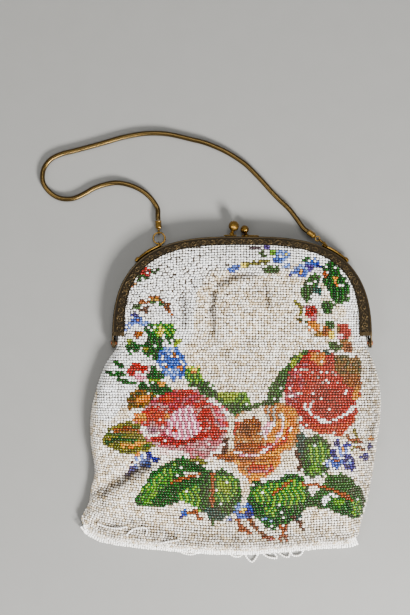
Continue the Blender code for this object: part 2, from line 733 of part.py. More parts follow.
class Cloth:
    """The bag's outline, and the heights of its faces above the surface it lies on."""

    def __init__(self):
        dense_mouth = mouth_line()
        self.mouth = resample(dense_mouth, CLOTH_POINT_EVERY)
        self.sides = resample(closed_line(dense_mouth), CLOTH_POINT_EVERY)
        self.outer_edge = arch_line(120)
        self.dense_mouth = dense_mouth

    def full_height(self, point):
        """The front face's height in the open, with its folds and dents."""
        height = BAG_THICKNESS * interpolate(FULLNESS_ROWS, -point.y / BAG_DROP)
        for _, start, end, radius, rise in FOLD_ROWS:
            low = Vector((start[0] * BAG_HALF_WIDTH, -start[1] * BAG_DROP))
            high = Vector((end[0] * BAG_HALF_WIDTH, -end[1] * BAG_DROP))
            away = distance_to_line(point, [low, high]) / (radius * BAG_HALF_WIDTH)
            height += BAG_THICKNESS * rise * math.exp(-away * away)
        return height

    def clear_of_band(self, point):
        """0 under the frame's face, 1 where the cloth has its full height."""
        inside = distance_to_line(point, self.outer_edge) - band_width(max(point.y, 0.0)) - 2 * GAP
        below = -point.y
        return smoothstep(max(inside, below) / BAND_SHOULDER)

    def seam_height(self, point):
        low = smoothstep(-point.y / BAG_SEAM_FALL)
        return PARTING_HEIGHT + (BAG_SEAM_HEIGHT - PARTING_HEIGHT) * low

    def heights(self, point, wall):
        """Front and back height of the outer cloth (wall 0) or of its inside."""
        seam = self.seam_height(point)
        from_side = max(distance_to_line(point, self.sides) - wall, 0.0) / BAG_EDGE_RADIUS
        rounding = math.sqrt(1.0 - (1.0 - min(from_side, 1.0)) ** 2)
        free = self.clear_of_band(point)
        under_front = FRONT_FACE - FRAME_SHEET - GAP
        over_back = BACK_FACE + FRAME_SHEET + GAP
        front = under_front + (self.full_height(point) - under_front) * free - wall
        back = over_back * (1.0 - free) + wall
        return seam + (front - seam) * rounding, seam + (back - seam) * rounding

    def boundary(self, wall):
        """The closed outline of the outer cloth or of its inside, and how many points are mouth."""
        if wall == 0.0:
            return self.mouth + self.sides[-2:0:-1], len(self.mouth)
        inward = [-normal for normal in normals_right_of(self.sides)]
        inset = [point + normal * wall for point, normal in zip(self.sides, inward)]
        trimmed = resample(self.dense_mouth, wall)[1:-1]
        count = len(self.mouth) - 1
        mouth = resample(trimmed, (len(trimmed) - 1) * wall / count)
        return mouth + inset[::-1], len(mouth)

    def layout(self, wall, grid, folds):
        """Triangulate the outline with rows near its edge and a grid inside."""
        outline, mouth_count = self.boundary(wall)
        points = list(outline)
        edges = [(index, (index + 1) % len(outline)) for index in range(len(outline))]

        def is_free(candidate, clearance):
            if not is_inside(candidate, outline):
                return False
            return all((candidate - point).length > clearance for point in points)

        inward = [-normal for normal in normals_right_of(self.sides)]
        for share in EDGE_ROW_SHARES:
            for point, normal in zip(self.sides, inward):
                row_point = point + normal * (wall + share * BAG_EDGE_RADIUS)
                true_reach = distance_to_line(row_point, self.sides)
                if true_reach > wall + 0.9 * share * BAG_EDGE_RADIUS and is_free(row_point, ROW_CLEARANCE):
                    points.append(row_point)
        for line in band_lines(CLOTH_POINT_EVERY):
            for point in line:
                if is_free(point, 1.2 * ROW_CLEARANCE):
                    points.append(point)
        if folds:
            points += [point for point in fold_points(grid * 0.8) if is_free(point, grid * 0.35)]
        row_height = grid * math.sqrt(3) / 2
        rows = math.ceil((BAG_DROP + FRAME_RISE) / row_height) + 1
        columns = math.ceil(2.4 * BAG_HALF_WIDTH / grid)
        for row in range(rows):
            for column in range(columns):
                across = (column - columns / 2 + (row % 2) / 2) * grid
                candidate = Vector((across, FRAME_RISE - row * row_height))
                if is_free(candidate, grid * 0.62):
                    points.append(candidate)
        result = delaunay_2d_cdt(points, edges, [], 1, 1e-7)
        coordinates, faces, origins = result[0], result[2], result[3]
        return coordinates, faces, origins, len(outline), mouth_count


def make_bag(name, material):
    """The pouch: front and back cloth with a wall's thickness, joined at the sides, open at the mouth."""
    cloth = Cloth()
    shape = bmesh.new()
    mouth_rows = {}

    def add_sheet(layer, wall, is_front, grid, seam_vertices):
        coordinates, faces, origins, outline_count, mouth_count = cloth.layout(wall, grid, is_front)
        vertices = []
        mouth_vertices = {}
        for place, source in zip(coordinates, origins):
            front, back = cloth.heights(Vector(place), wall)
            index = source[0] if source else outline_count
            on_outline = index < outline_count
            shared = on_outline and (index >= mouth_count or index in (0, mouth_count - 1))
            if shared and index in seam_vertices:
                vertex = seam_vertices[index]
            else:
                height = cloth.seam_height(Vector(place)) if shared else (front if is_front else back)
                vertex = shape.verts.new((*place, height))
                if shared:
                    seam_vertices[index] = vertex
            if index < mouth_count:
                mouth_vertices[index] = vertex
            vertices.append(vertex)
        upward = is_front == (wall == 0.0)
        for face in faces:
            corners = [vertices[corner] for corner in face]
            a, b, c = (corner.co for corner in corners[:3])
            is_up = (b.xy - a.xy).cross(c.xy - a.xy) > 0
            shape.faces.new(corners if is_up == upward else corners[::-1])
        mouth_rows[layer] = [mouth_vertices[index] for index in range(mouth_count)]

    outer_seam = {}
    inner_seam = {}
    add_sheet("outer_front", 0.0, True, FRONT_GRID, outer_seam)
    add_sheet("outer_back", 0.0, False, BACK_GRID, outer_seam)
    add_sheet("inner_front", BAG_WALL, True, FRONT_GRID, inner_seam)
    add_sheet("inner_back", BAG_WALL, False, BACK_GRID, inner_seam)
    for outer, inner in (("outer_front", "inner_front"), ("outer_back", "inner_back")):
        outside, inside = mouth_rows[outer], mouth_rows[inner]
        for index in range(len(outside) - 1):
            shape.faces.new((outside[index], outside[index + 1], inside[index + 1], inside[index]))
    bmesh.ops.recalc_face_normals(shape, faces=shape.faces)
    return finish_object(name, shape, material, 60.0)


def make_fringe(name, material):
    """The edging along the hem with its loops, as one flat ribbon with lobes."""
    hem_points = [Vector((across * BAG_HALF_WIDTH, -down * BAG_DROP)) for across, down in HEM_ROWS]
    low_left = SIDE_ROWS[-1]
    hem_points.insert(0, Vector((-low_left[1] * BAG_HALF_WIDTH, -low_left[0] * BAG_DROP)))
    line = resample(smooth_curve(hem_points), FRINGE_STATION)
    outward = [-normal for normal in normals_right_of(line)]
    rings = []
    for point, normal in zip(line, outward):
        out = Vector((-normal.x, -normal.y))
        drop = EDGING_WIDTH
        for middle, half_width, depth in LOOP_ROWS:
            reach = abs(point.x - middle * BAG_HALF_WIDTH) / (half_width * BAG_HALF_WIDTH)
            if reach < 1.0:
                drop += depth * BAG_HALF_WIDTH * math.cos(reach * math.pi / 2)
        near = point + out * GAP * 2
        far = point + out * (GAP * 2 + drop)
        rings.append([
            Vector((*near, 0.0)),
            Vector((*far, 0.0)),
            Vector((*far, FRINGE_THICKNESS * 0.75)),
            Vector((*near, FRINGE_THICKNESS)),
        ])
    return finish_object(name, loft(rings), material)


def move_to_base(objects):
    """Put the origin at the middle of the whole, at its lowest point."""
    bpy.context.view_layer.update()
    depsgraph = bpy.context.evaluated_depsgraph_get()
    corners = []
    for item in objects:
        evaluated = item.evaluated_get(depsgraph)
        mesh = evaluated.to_mesh()
        corners += [item.matrix_world @ vertex.co for vertex in mesh.vertices]
        evaluated.to_mesh_clear()
    low = [min(corner[axis] for corner in corners) for axis in range(3)]
    high = [max(corner[axis] for corner in corners) for axis in range(3)]
    shift = Vector((-(low[0] + high[0]) / 2, -(low[1] + high[1]) / 2, -low[2]))
    for item in bpy.data.objects:
        item.location = item.location + shift


def main():
    clear_scene()
    antique_brass = {"colour": (0.30, 0.20, 0.09), "roughness": 0.38, "metallic": 1.0}
    bright_brass = {"colour": (0.78, 0.55, 0.22), "roughness": 0.20, "metallic": 1.0}
    front_columns = (0.0, 0.06, 0.13, 0.22, 0.38, 0.54, 0.70, 0.86, 1.0)
    back_columns = (0.0, 0.13, 0.30, 0.55, 0.80, 1.0)
    frame_front = make_frame_half("frame_front", FRONT_FACE, 1, FRONT_STATION, front_columns,
                                  make_material("frame_front_brass", **antique_brass))
    frame_back = make_frame_half("frame_back", BACK_FACE, -1, BACK_STATION, back_columns,
                                 make_material("frame_back_brass", **antique_brass))
    make_hinge_tabs(frame_front, 1, 0)
    make_hinge_tabs(frame_back, -1, 1)
    pieces = [frame_front, frame_back]

    front_rim_middle = (FRONT_FACE + PARTING_HEIGHT) / 2
    back_rim_middle = (BACK_FACE + PARTING_HEIGHT) / 2
    front_brass = make_material("front_knob_brass", **bright_brass)
    back_brass = make_material("back_knob_brass", **bright_brass)
    pieces.append(make_knob("clasp_knob_front", FRONT_BALL_RADIUS, FRONT_BALL_OFFSET, FRONT_FOOT_ACROSS,
                            FRONT_STEM_ACROSS, front_rim_middle, front_brass))
    pieces.append(make_knob("clasp_knob_back", BACK_BALL_RADIUS, BACK_BALL_OFFSET, BACK_FOOT_ACROSS,
                            BACK_STEM_ACROSS, back_rim_middle, back_brass))

    rings = ring_frames()
    caps = cap_frames()
    for side_name, side in SIDES.items():
        copper = make_material(f"rivet_copper_{side_name}", (0.62, 0.30, 0.16), 0.35, 1.0)
        pieces.append(make_rivet(f"hinge_rivet_{side_name}", side, copper))
        lug_brass = make_material(f"lug_brass_{side_name}", **antique_brass)
        pieces.append(make_lug(f"chain_lug_{side_name}", side, lug_brass))
        ring_brass = make_material(f"ring_brass_{side_name}", **bright_brass)
        middle, axis, _ = rings[side_name]
        pieces.append(make_ring(f"jump_ring_{side_name}", middle, axis, ring_brass))
        cap_brass = make_material(f"cap_brass_{side_name}", **bright_brass)
        pieces.append(make_cap(f"chain_end_{side_name}", caps[side_name], cap_brass))

    chain_brass = make_material("chain_brass", (0.50, 0.38, 0.20), 0.35, 1.0)
    pieces.append(make_chain("snake_chain", caps, chain_brass))
    pieces.append(make_bag("beaded_bag", make_material("ivory_beads", (0.62, 0.57, 0.50), 0.40, 0.0)))
    pieces.append(make_fringe("loop_fringe", make_material("fringe_beads", (0.66, 0.61, 0.54), 0.40, 0.0)))
    move_to_base(pieces)


main()
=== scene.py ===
import math

import bmesh
import bpy
import numpy as np
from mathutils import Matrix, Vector, noise
from mathutils.bvhtree import BVHTree


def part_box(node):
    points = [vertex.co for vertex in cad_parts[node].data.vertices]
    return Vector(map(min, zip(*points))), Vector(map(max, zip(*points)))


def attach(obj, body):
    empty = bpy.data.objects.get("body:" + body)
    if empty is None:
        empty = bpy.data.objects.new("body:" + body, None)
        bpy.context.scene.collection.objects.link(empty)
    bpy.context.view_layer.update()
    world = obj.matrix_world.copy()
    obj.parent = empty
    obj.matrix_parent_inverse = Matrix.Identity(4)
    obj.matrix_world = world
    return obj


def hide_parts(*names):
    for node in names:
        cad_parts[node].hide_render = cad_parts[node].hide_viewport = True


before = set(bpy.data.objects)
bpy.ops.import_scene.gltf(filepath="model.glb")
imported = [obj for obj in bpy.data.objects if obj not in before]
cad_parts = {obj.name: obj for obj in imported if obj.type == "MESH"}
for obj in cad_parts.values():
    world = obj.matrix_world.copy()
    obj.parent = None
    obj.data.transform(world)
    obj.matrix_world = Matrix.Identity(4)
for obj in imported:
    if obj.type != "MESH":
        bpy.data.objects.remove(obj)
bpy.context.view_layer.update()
MM = 0.001

# The table and the camera
# The bag lies on its back on a pale table top, and the camera looks straight down on it.
# One pixel of the view is 0.65 mm at the height of the bag's face.
VIEW_PIXEL = 0.65 * MM
VIEW_HEIGHT_PIXELS = 615
VIEW_DISTANCE = 1.0
FACE_HEIGHT = 9.5 * MM
SENSOR_MM = 36.0
FRAME_MIDDLE_PIXEL = 242.0
FRAME_TOP_PIXEL = 236.5
VIEW_MIDDLE = (205.0, 307.5)

frame_low, frame_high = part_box("frame_front")
frame_middle = (frame_low.x + frame_high.x) / 2
frame_top = frame_high.y


def at_pixel(across, down):
    """A place on the table plane from a place in the view."""
    return (frame_middle + (across - FRAME_MIDDLE_PIXEL) * VIEW_PIXEL,
            frame_top - (down - FRAME_TOP_PIXEL) * VIEW_PIXEL)


view_x, view_y = at_pixel(*VIEW_MIDDLE)
bpy.ops.object.camera_add(location=(view_x, view_y, FACE_HEIGHT + VIEW_DISTANCE), rotation=(0, 0, 0))
camera = bpy.context.object
camera.name = "camera_above"
camera.data.sensor_width = SENSOR_MM
camera.data.lens = SENSOR_MM * VIEW_DISTANCE / (VIEW_HEIGHT_PIXELS * VIEW_PIXEL)
camera.data.clip_start = 0.01
bpy.context.scene.camera = camera


def linear(hex_colour):
    """An sRGB hex colour as linear red, green and blue."""
    shares = [int(hex_colour[start:start + 2], 16) / 255 for start in (1, 3, 5)]
    return [c / 12.92 if c <= 0.04045 else ((c + 0.055) / 1.055) ** 2.4 for c in shares]


def add_node(tree, kind, inputs=None, **settings):
    """Add a node with its settings, and link or set its inputs."""
    node = tree.nodes.new(kind)
    for setting, value in settings.items():
        setattr(node, setting, value)
    for socket, value in (inputs or {}).items():
        if isinstance(value, bpy.types.NodeSocket):
            tree.links.new(value, node.inputs[socket])
        else:
            node.inputs[socket].default_value = value
    return node


def new_material(name):
    material = bpy.data.materials.new(name)
    material.use_nodes = True
    return material, material.node_tree, material.node_tree.nodes["Principled BSDF"]


def select_only(*pieces):
    bpy.ops.object.select_all(action='DESELECT')
    for piece in pieces:
        piece.select_set(True)
    bpy.context.view_layer.objects.active = pieces[0]


def dress(piece, material):
    piece.data.materials.clear()
    piece.data.materials.append(material)


def mottle(tree, scale, detail, first, second):
    """Noise over the piece and two colours mixed by it, as the noise's node and the colour's socket."""
    place = add_node(tree, "ShaderNodeTexCoord")
    mottling = add_node(tree, "ShaderNodeTexNoise", {
        "Vector": place.outputs["Object"], "Scale": scale, "Detail": detail})
    tone = add_node(tree, "ShaderNodeMix", {
        "Factor": mottling.outputs["Fac"], "A": (*linear(first), 1), "B": (*linear(second), 1)},
        data_type='RGBA')
    return mottling, tone.outputs[2]


# Pale matt laminate: even, with a barely seen mottle and no gloss of its own
TABLE_SIZE = 4.0
TABLE_DROP = 0.3 * MM
table_top, tree, shader = new_material("matt_laminate")
_, tone = mottle(tree, 60.0, 2.0, "#7C7B77", "#787773")
tree.links.new(tone, shader.inputs["Base Color"])
shader.inputs["Roughness"].default_value = 0.75
bpy.ops.mesh.primitive_plane_add(size=TABLE_SIZE, location=(0, 0, -TABLE_DROP))
table = bpy.context.object
table.name = "table_top"
dress(table, table_top)

# Soft boxes: the stronger one from the lower right, a weaker one from the left, and a pale sky.
# Columns: name, place in metres, width in metres and power in watts
LAMPS = [
    ("key_softbox", (0.50, -0.72, 0.62), 0.30, 49.0),
    ("side_softbox", (-0.70, -0.30, 0.80), 0.50, 4.6),
    ("top_softbox", (0.10, 0.50, 1.30), 0.60, 9.0),
]
LAMP_AIM_BELOW = 0.03
SKY_STRENGTH = 0.46
for lamp_name, lamp_place, lamp_size, lamp_power in LAMPS:
    bpy.ops.object.light_add(type='AREA', location=lamp_place)
    lamp = bpy.context.object
    lamp.name = lamp_name
    lamp.data.size = lamp_size
    lamp.data.energy = lamp_power
    aim = Vector((view_x, view_y - LAMP_AIM_BELOW, 0)) - Vector(lamp_place)
    lamp.rotation_euler = aim.to_track_quat('-Z', 'Y').to_euler()
sky = bpy.data.worlds.new("soft_sky")
bpy.context.scene.world = sky
sky.use_nodes = True
sky_light = sky.node_tree.nodes["Background"]
sky_light.inputs["Color"].default_value = (*linear("#F2F4F6"), 1)
sky_light.inputs["Strength"].default_value = SKY_STRENGTH

# Bag cloth
# The bag is one tube of cotton knitted on fine needles, seamed at the hem and sewn into the frame.
# Its cloth shows only as dark thread in the gaps between the beads that are knitted in.
CLOTH_BELOW_SKIN = 1.1 * MM
RIPPLE_MM = 0.6
HINGE_DROP = 66 * MM
SEAM_SPREAD = 1.2 * MM
SEAM_FADE = 8 * MM
FOLD_LINE = [(93, 500), (108, 490.5), (123, 483), (133, 476.4), (144.6, 468), (155, 461)]

# Trough and ridge beside the fold line. Columns: height in mm, middle off the line and width
FOLD_PROFILE = [(-1.6, -6.0, 7.0), (0.8, 5.0, 6.0)]
FOLD_FADE = 0.12

# Dents pressed into the cloth. Columns: depth in mm, radius and points in the view
DENTS = [
    (2.4, 2.8, [(214, 292), (211.5, 310), (213.5, 331)]), (1.5, 2.8, [(265, 283), (268, 305)]),
    (1.5, 3.4, [(218, 285), (234, 277), (254, 275)]), (1.2, 4.0, [(184, 294), (185, 322)]),
    (0.9, 6.0, [(228, 350), (248, 341), (262, 330)]), (0.8, 5.0, [(293, 300), (286, 322)]),
    (1.2, 5.0, [(128, 532), (142, 525), (156, 530), (174, 535)]), (0.8, 5.0, [(248, 286), (270, 294)]),
    (-0.7, 6.0, [(198, 286), (196, 326)]), (-0.7, 7.0, [(232, 300), (236, 330)]),
]


def new_object(name, data):
    piece = bpy.data.objects.new(name, data)
    bpy.context.collection.objects.link(piece)
    return piece


def bag_skin():
    """The outer face of the solid bag as an object, without its inner walls."""
    skin = new_object("bag_cloth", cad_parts["beaded_bag"].data.copy())
    select_only(skin)
    bpy.ops.object.mode_set(mode='EDIT')
    bpy.ops.mesh.select_all(action='SELECT')
    bpy.ops.mesh.remove_doubles(threshold=0.01 * MM)
    edit = bmesh.from_edit_mesh(skin.data)
    edit.faces.ensure_lookup_table()
    walls = BVHTree.FromBMesh(edit)
    for face in edit.faces:
        start = face.calc_center_median() + face.normal * 0.05 * MM
        face.select = walls.ray_cast(start, face.normal, 0.3)[0] is not None
    bmesh.update_edit_mesh(skin.data)
    bpy.ops.mesh.delete(type='FACE')
    bpy.ops.mesh.select_all(action='SELECT')
    bpy.ops.mesh.tris_convert_to_quads()
    bpy.ops.object.mode_set(mode='OBJECT')
    rounding = skin.modifiers.new("rounding", 'SUBSURF')
    rounding.levels = rounding.render_levels = 2
    bpy.ops.object.modifier_apply(modifier="rounding")
    return skin


def to_chart(places):
    """Places as columns and rows of the working chart, whose unit is 0.65 mm."""
    across = (places[:, 0] - frame_middle) / VIEW_PIXEL + FRAME_MIDDLE_PIXEL
    down = (frame_top - places[:, 1]) / VIEW_PIXEL + FRAME_TOP_PIXEL
    return np.stack([across, down], axis=1)


def line_distance(points, line):
    """Distance, signed distance and place along a line for each point, in the line's unit."""
    best = np.full(len(points), np.inf)
    side = np.zeros(len(points))
    along = np.zeros(len(points))
    line = np.asarray(line, float)
    walked = 0.0
    for start, end in zip(line, line[1:]):
        way = end - start
        length = np.hypot(*way)
        share = np.clip(((points - start) @ way) / length ** 2, 0, 1)
        off = points - start - share[:, None] * way
        reach = np.hypot(off[:, 0], off[:, 1])
        nearer = reach < best
        best = np.where(nearer, reach, best)
        side = np.where(nearer, np.sign(way[0] * off[:, 1] - way[1] * off[:, 0]) * reach, side)
        along = np.where(nearer, walked + share * length, along)
        walked += length
    return best, side, along / walked


def read_places(mesh):
    places = np.empty(len(mesh.vertices) * 3)
    mesh.vertices.foreach_get("co", places)
    return places.reshape(-1, 3)


def read_normals(mesh):
    normals = np.empty(len(mesh.vertices) * 3)
    mesh.vertex_normals.foreach_get("vector", normals)
    return normals.reshape(-1, 3)


def write_places(mesh, places):
    mesh.vertices.foreach_set("co", places.ravel())
    mesh.update()


bag_cloth = bag_skin()
skin_places = read_places(bag_cloth.data)
skin_normals = read_normals(bag_cloth.data)
chart = to_chart(skin_places)
_, fold_side, fold_along = line_distance(chart, FOLD_LINE)
fold_ends = np.clip(np.minimum(fold_along, 1 - fold_along) / FOLD_FADE, 0, 1)
is_upward = np.clip(skin_normals[:, 2] * 2, 0, 1)
fold = sum(height * np.exp(-((fold_side - middle) / width) ** 2) for height, middle, width in FOLD_PROFILE)
ripple = np.array([noise.noise(Vector(p) * 45.0) + 0.5 * noise.noise(Vector(p) * 110.0)
                   for p in skin_places])
lift = fold * fold_ends + RIPPLE_MM * ripple
for depth, radius, points in DENTS:
    lift -= depth * np.exp(-(line_distance(chart, points)[0] / radius) ** 2)
lift *= is_upward * MM
skin_places = skin_places + np.array([0, 0, 1]) * lift[:, None]
below_hinge = np.clip((frame_top - HINGE_DROP - skin_places[:, 1]) / SEAM_FADE, 0, 1)
skin_places += skin_normals * (SEAM_SPREAD * below_hinge[:, None] * np.array([1, 1, 0]))
skin_places[:, 2] = np.maximum(skin_places[:, 2], 0.0)
write_places(bag_cloth.data, skin_places)
skin_normals = read_normals(bag_cloth.data)
bag_cloth.data.calc_loop_triangles()
skin_triangles = np.empty(len(bag_cloth.data.loop_triangles) * 3, int)
bag_cloth.data.loop_triangles.foreach_get("vertices", skin_triangles)
skin_triangles = skin_triangles.reshape(-1, 3)
write_places(bag_cloth.data, skin_places - skin_normals * CLOTH_BELOW_SKIN)

# Mercerised cotton thread in a fine plain knit: dull, mottled in deep browns that also paint the shade in
# the gaps between the beads.
# The real stitch is about 0.9 mm, and it is drawn at 1.7 mm, the pitch of the rows of beads.
STITCH = 1.7 * MM
cotton, tree, shader = new_material("knitted_cotton_with_gap_shade")
_, tone = mottle(tree, 22.0, 3.0, "#4E3E2C", "#261E17")
tree.links.new(tone, shader.inputs["Base Color"])
place = add_node(tree, "ShaderNodeTexCoord")
thread = add_node(tree, "ShaderNodeTexWave", {
    "Vector": place.outputs["Object"], "Scale": 0.314 / STITCH, "Distortion": 2.0}, bands_direction='Y')
shader.inputs["Roughness"].default_value = 0.9
knit = add_node(tree, "ShaderNodeBump", {
    "Height": thread.outputs["Fac"], "Strength": 0.6, "Distance": 0.2 * MM})
tree.links.new(knit.outputs["Normal"], shader.inputs["Normal"])
dress(bag_cloth, cotton)
select_only(bag_cloth)
bpy.ops.object.shade_smooth()
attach(bag_cloth, "root")
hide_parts("beaded_bag")

# Beads
# Opaque glass seed beads, one in each knitted stitch, in level rows that run round the bag.
# The flowers are knitted in from a chart, as on the common floral bags of the time.
BEAD_PITCH = 1.90 * MM
ROW_PITCH = 1.72 * MM
BEAD_LENGTH = 1.66 * MM
BEAD_WIDTH = 1.74 * MM
BEAD_HEIGHT = 1.50 * MM
BEAD_BELOW_SKIN = 0.66 * MM
FRONT_SIDES = 6
BACK_SIDES = 5
beading = np.random.default_rng(1923)

# Bead colours: the name of each mix, how its colours are mixed, then the colours. Glass looks paler in
# the render than its colour says, so each mix but the pale ones is made deeper by its depth.
DEPTHS = {"lime green": 0.42, "spring green": 0.32, "dark green": 0.32, "teal green": 0.55, "navy": 0.34,
          "blue": 0.52, "light blue": 0.64, "red": 0.33, "brick": 0.34, "rose stripes": 0.34, "orange": 0.56,
          "rosy": 0.5}
PALE_MIXES = ("ivory", "white", "cool white", "cream", "pale pink", "pink white", "pink checks", "yellow",
              "blue white")
GREEN_DEPTH = 0.20
OTHER_DEPTH = 0.39
BEAD_MIXES = """
ivory: mixed #F8F1E4 #F1E7D7 #EADDC8 #FCF7ED #DECDB2 #F4ECDF #CDB997
white: mixed #F8F5EF #F1ECE4 #FBFAF7
cool white: mixed #F3F4F3 #EAEAE7 #F9F9F9 #DCDAD4 #F0EEEA
cream: mixed #EBDDC2 #F1E8D6 #E0CFB0
red: mixed #C42A1C #D23A22 #B3201A #D84A2A #C7361F
red white: mixed #C42A1C #D23A22 #F2D8D0 #C7361F #D84A2A #C23020 #B3201A #F0E2DA #D03826
brick: mixed #B8301E #C43C26 #A42A1E #C84A30 #9A2A20
red orange: mixed #E04A22 #D8391C #EB6030 #CE2F1A
salmon: mixed #CE4A44 #E09A98 #C43A30 #EAB8B4 #D2605C #C84840
crimson: mixed #9C1626 #B81E30 #7C1020 #C83040
mauve red: mixed #B8485A #C86A78 #A83848 #D08A94 #C03A34
rose stripes: columns #C8341E #DC6A58 #C03020 #CE5448
pink: mixed #E8A0A4 #F0BCBC #E08890 #F4D2D0
pink white: mixed #C8647E #F2E0DE #E4A8B4 #F6ECE8 #D47A90
pink checks: checks #BC5C78 #E8C4CC
rosy: mixed #D0506A #F0B4BC #E07C90 #F4DEDE #D04450
pale pink: mixed #F2D6CE #F5E6DE #ECC6BE #F3EDE6
mauve: mixed #C090A0 #D4A6B0 #A87488 #DDBCC2
orange: mixed #F09A34 #E88626 #F6AE4C #E27A22
pale orange: mixed #F0B070 #E89A50 #F4C896 #E8843C
orange brown: mixed #B86420 #A8541C #C8742A #8E4418
orange white: checks #E8842E #F4E6D4
gold: mixed #C8902C #D8A43C #B07820 #A88428
gold green: mixed #C88A2C #4E6A2C #D89A34 #8A7A2A #C07020
yellow: mixed #E8CC3A #D8B82C #F0DC5C
lime: mixed #A8BC3C #96AE38 #BCCC54 #84A034
lime green: checks #94C050 #2E6E38
spring green: mixed #5C9C40 #7CB850 #3C7A38 #98C860 #2A6234
green: mixed #286E36 #347E3C #1E5E2C #428A40
green columns: columns #17502C #459044
dark green: mixed #205226 #2A622E #1A4620 #356E34
teal green: mixed #16403A #1E4E44 #123430
olive: mixed #7E7E28 #8E8A30 #6A7024 #A09234
olive stripes: rows #8C8C2E #4A6A2C #A8843A
brown: mixed #8A4A20 #7A3E1C #9C5828
dark brown: mixed #5A2E1E #4A2418 #6A3A24
rust: mixed #B4541E #A04818 #C4642A
navy: mixed #2A3A9C #202E86 #3648AC #222C70
blue: mixed #4A68C0 #5A78CC #3C58B0 #6E8AD4
light blue: checks #6C8AD2 #B4C4EA
blue white: checks #5470C0 #F0F0F2
violet: mixed #54488C #6A5CA4 #463A7A
plum: mixed #3A2840 #4A3048 #2E2036
"""

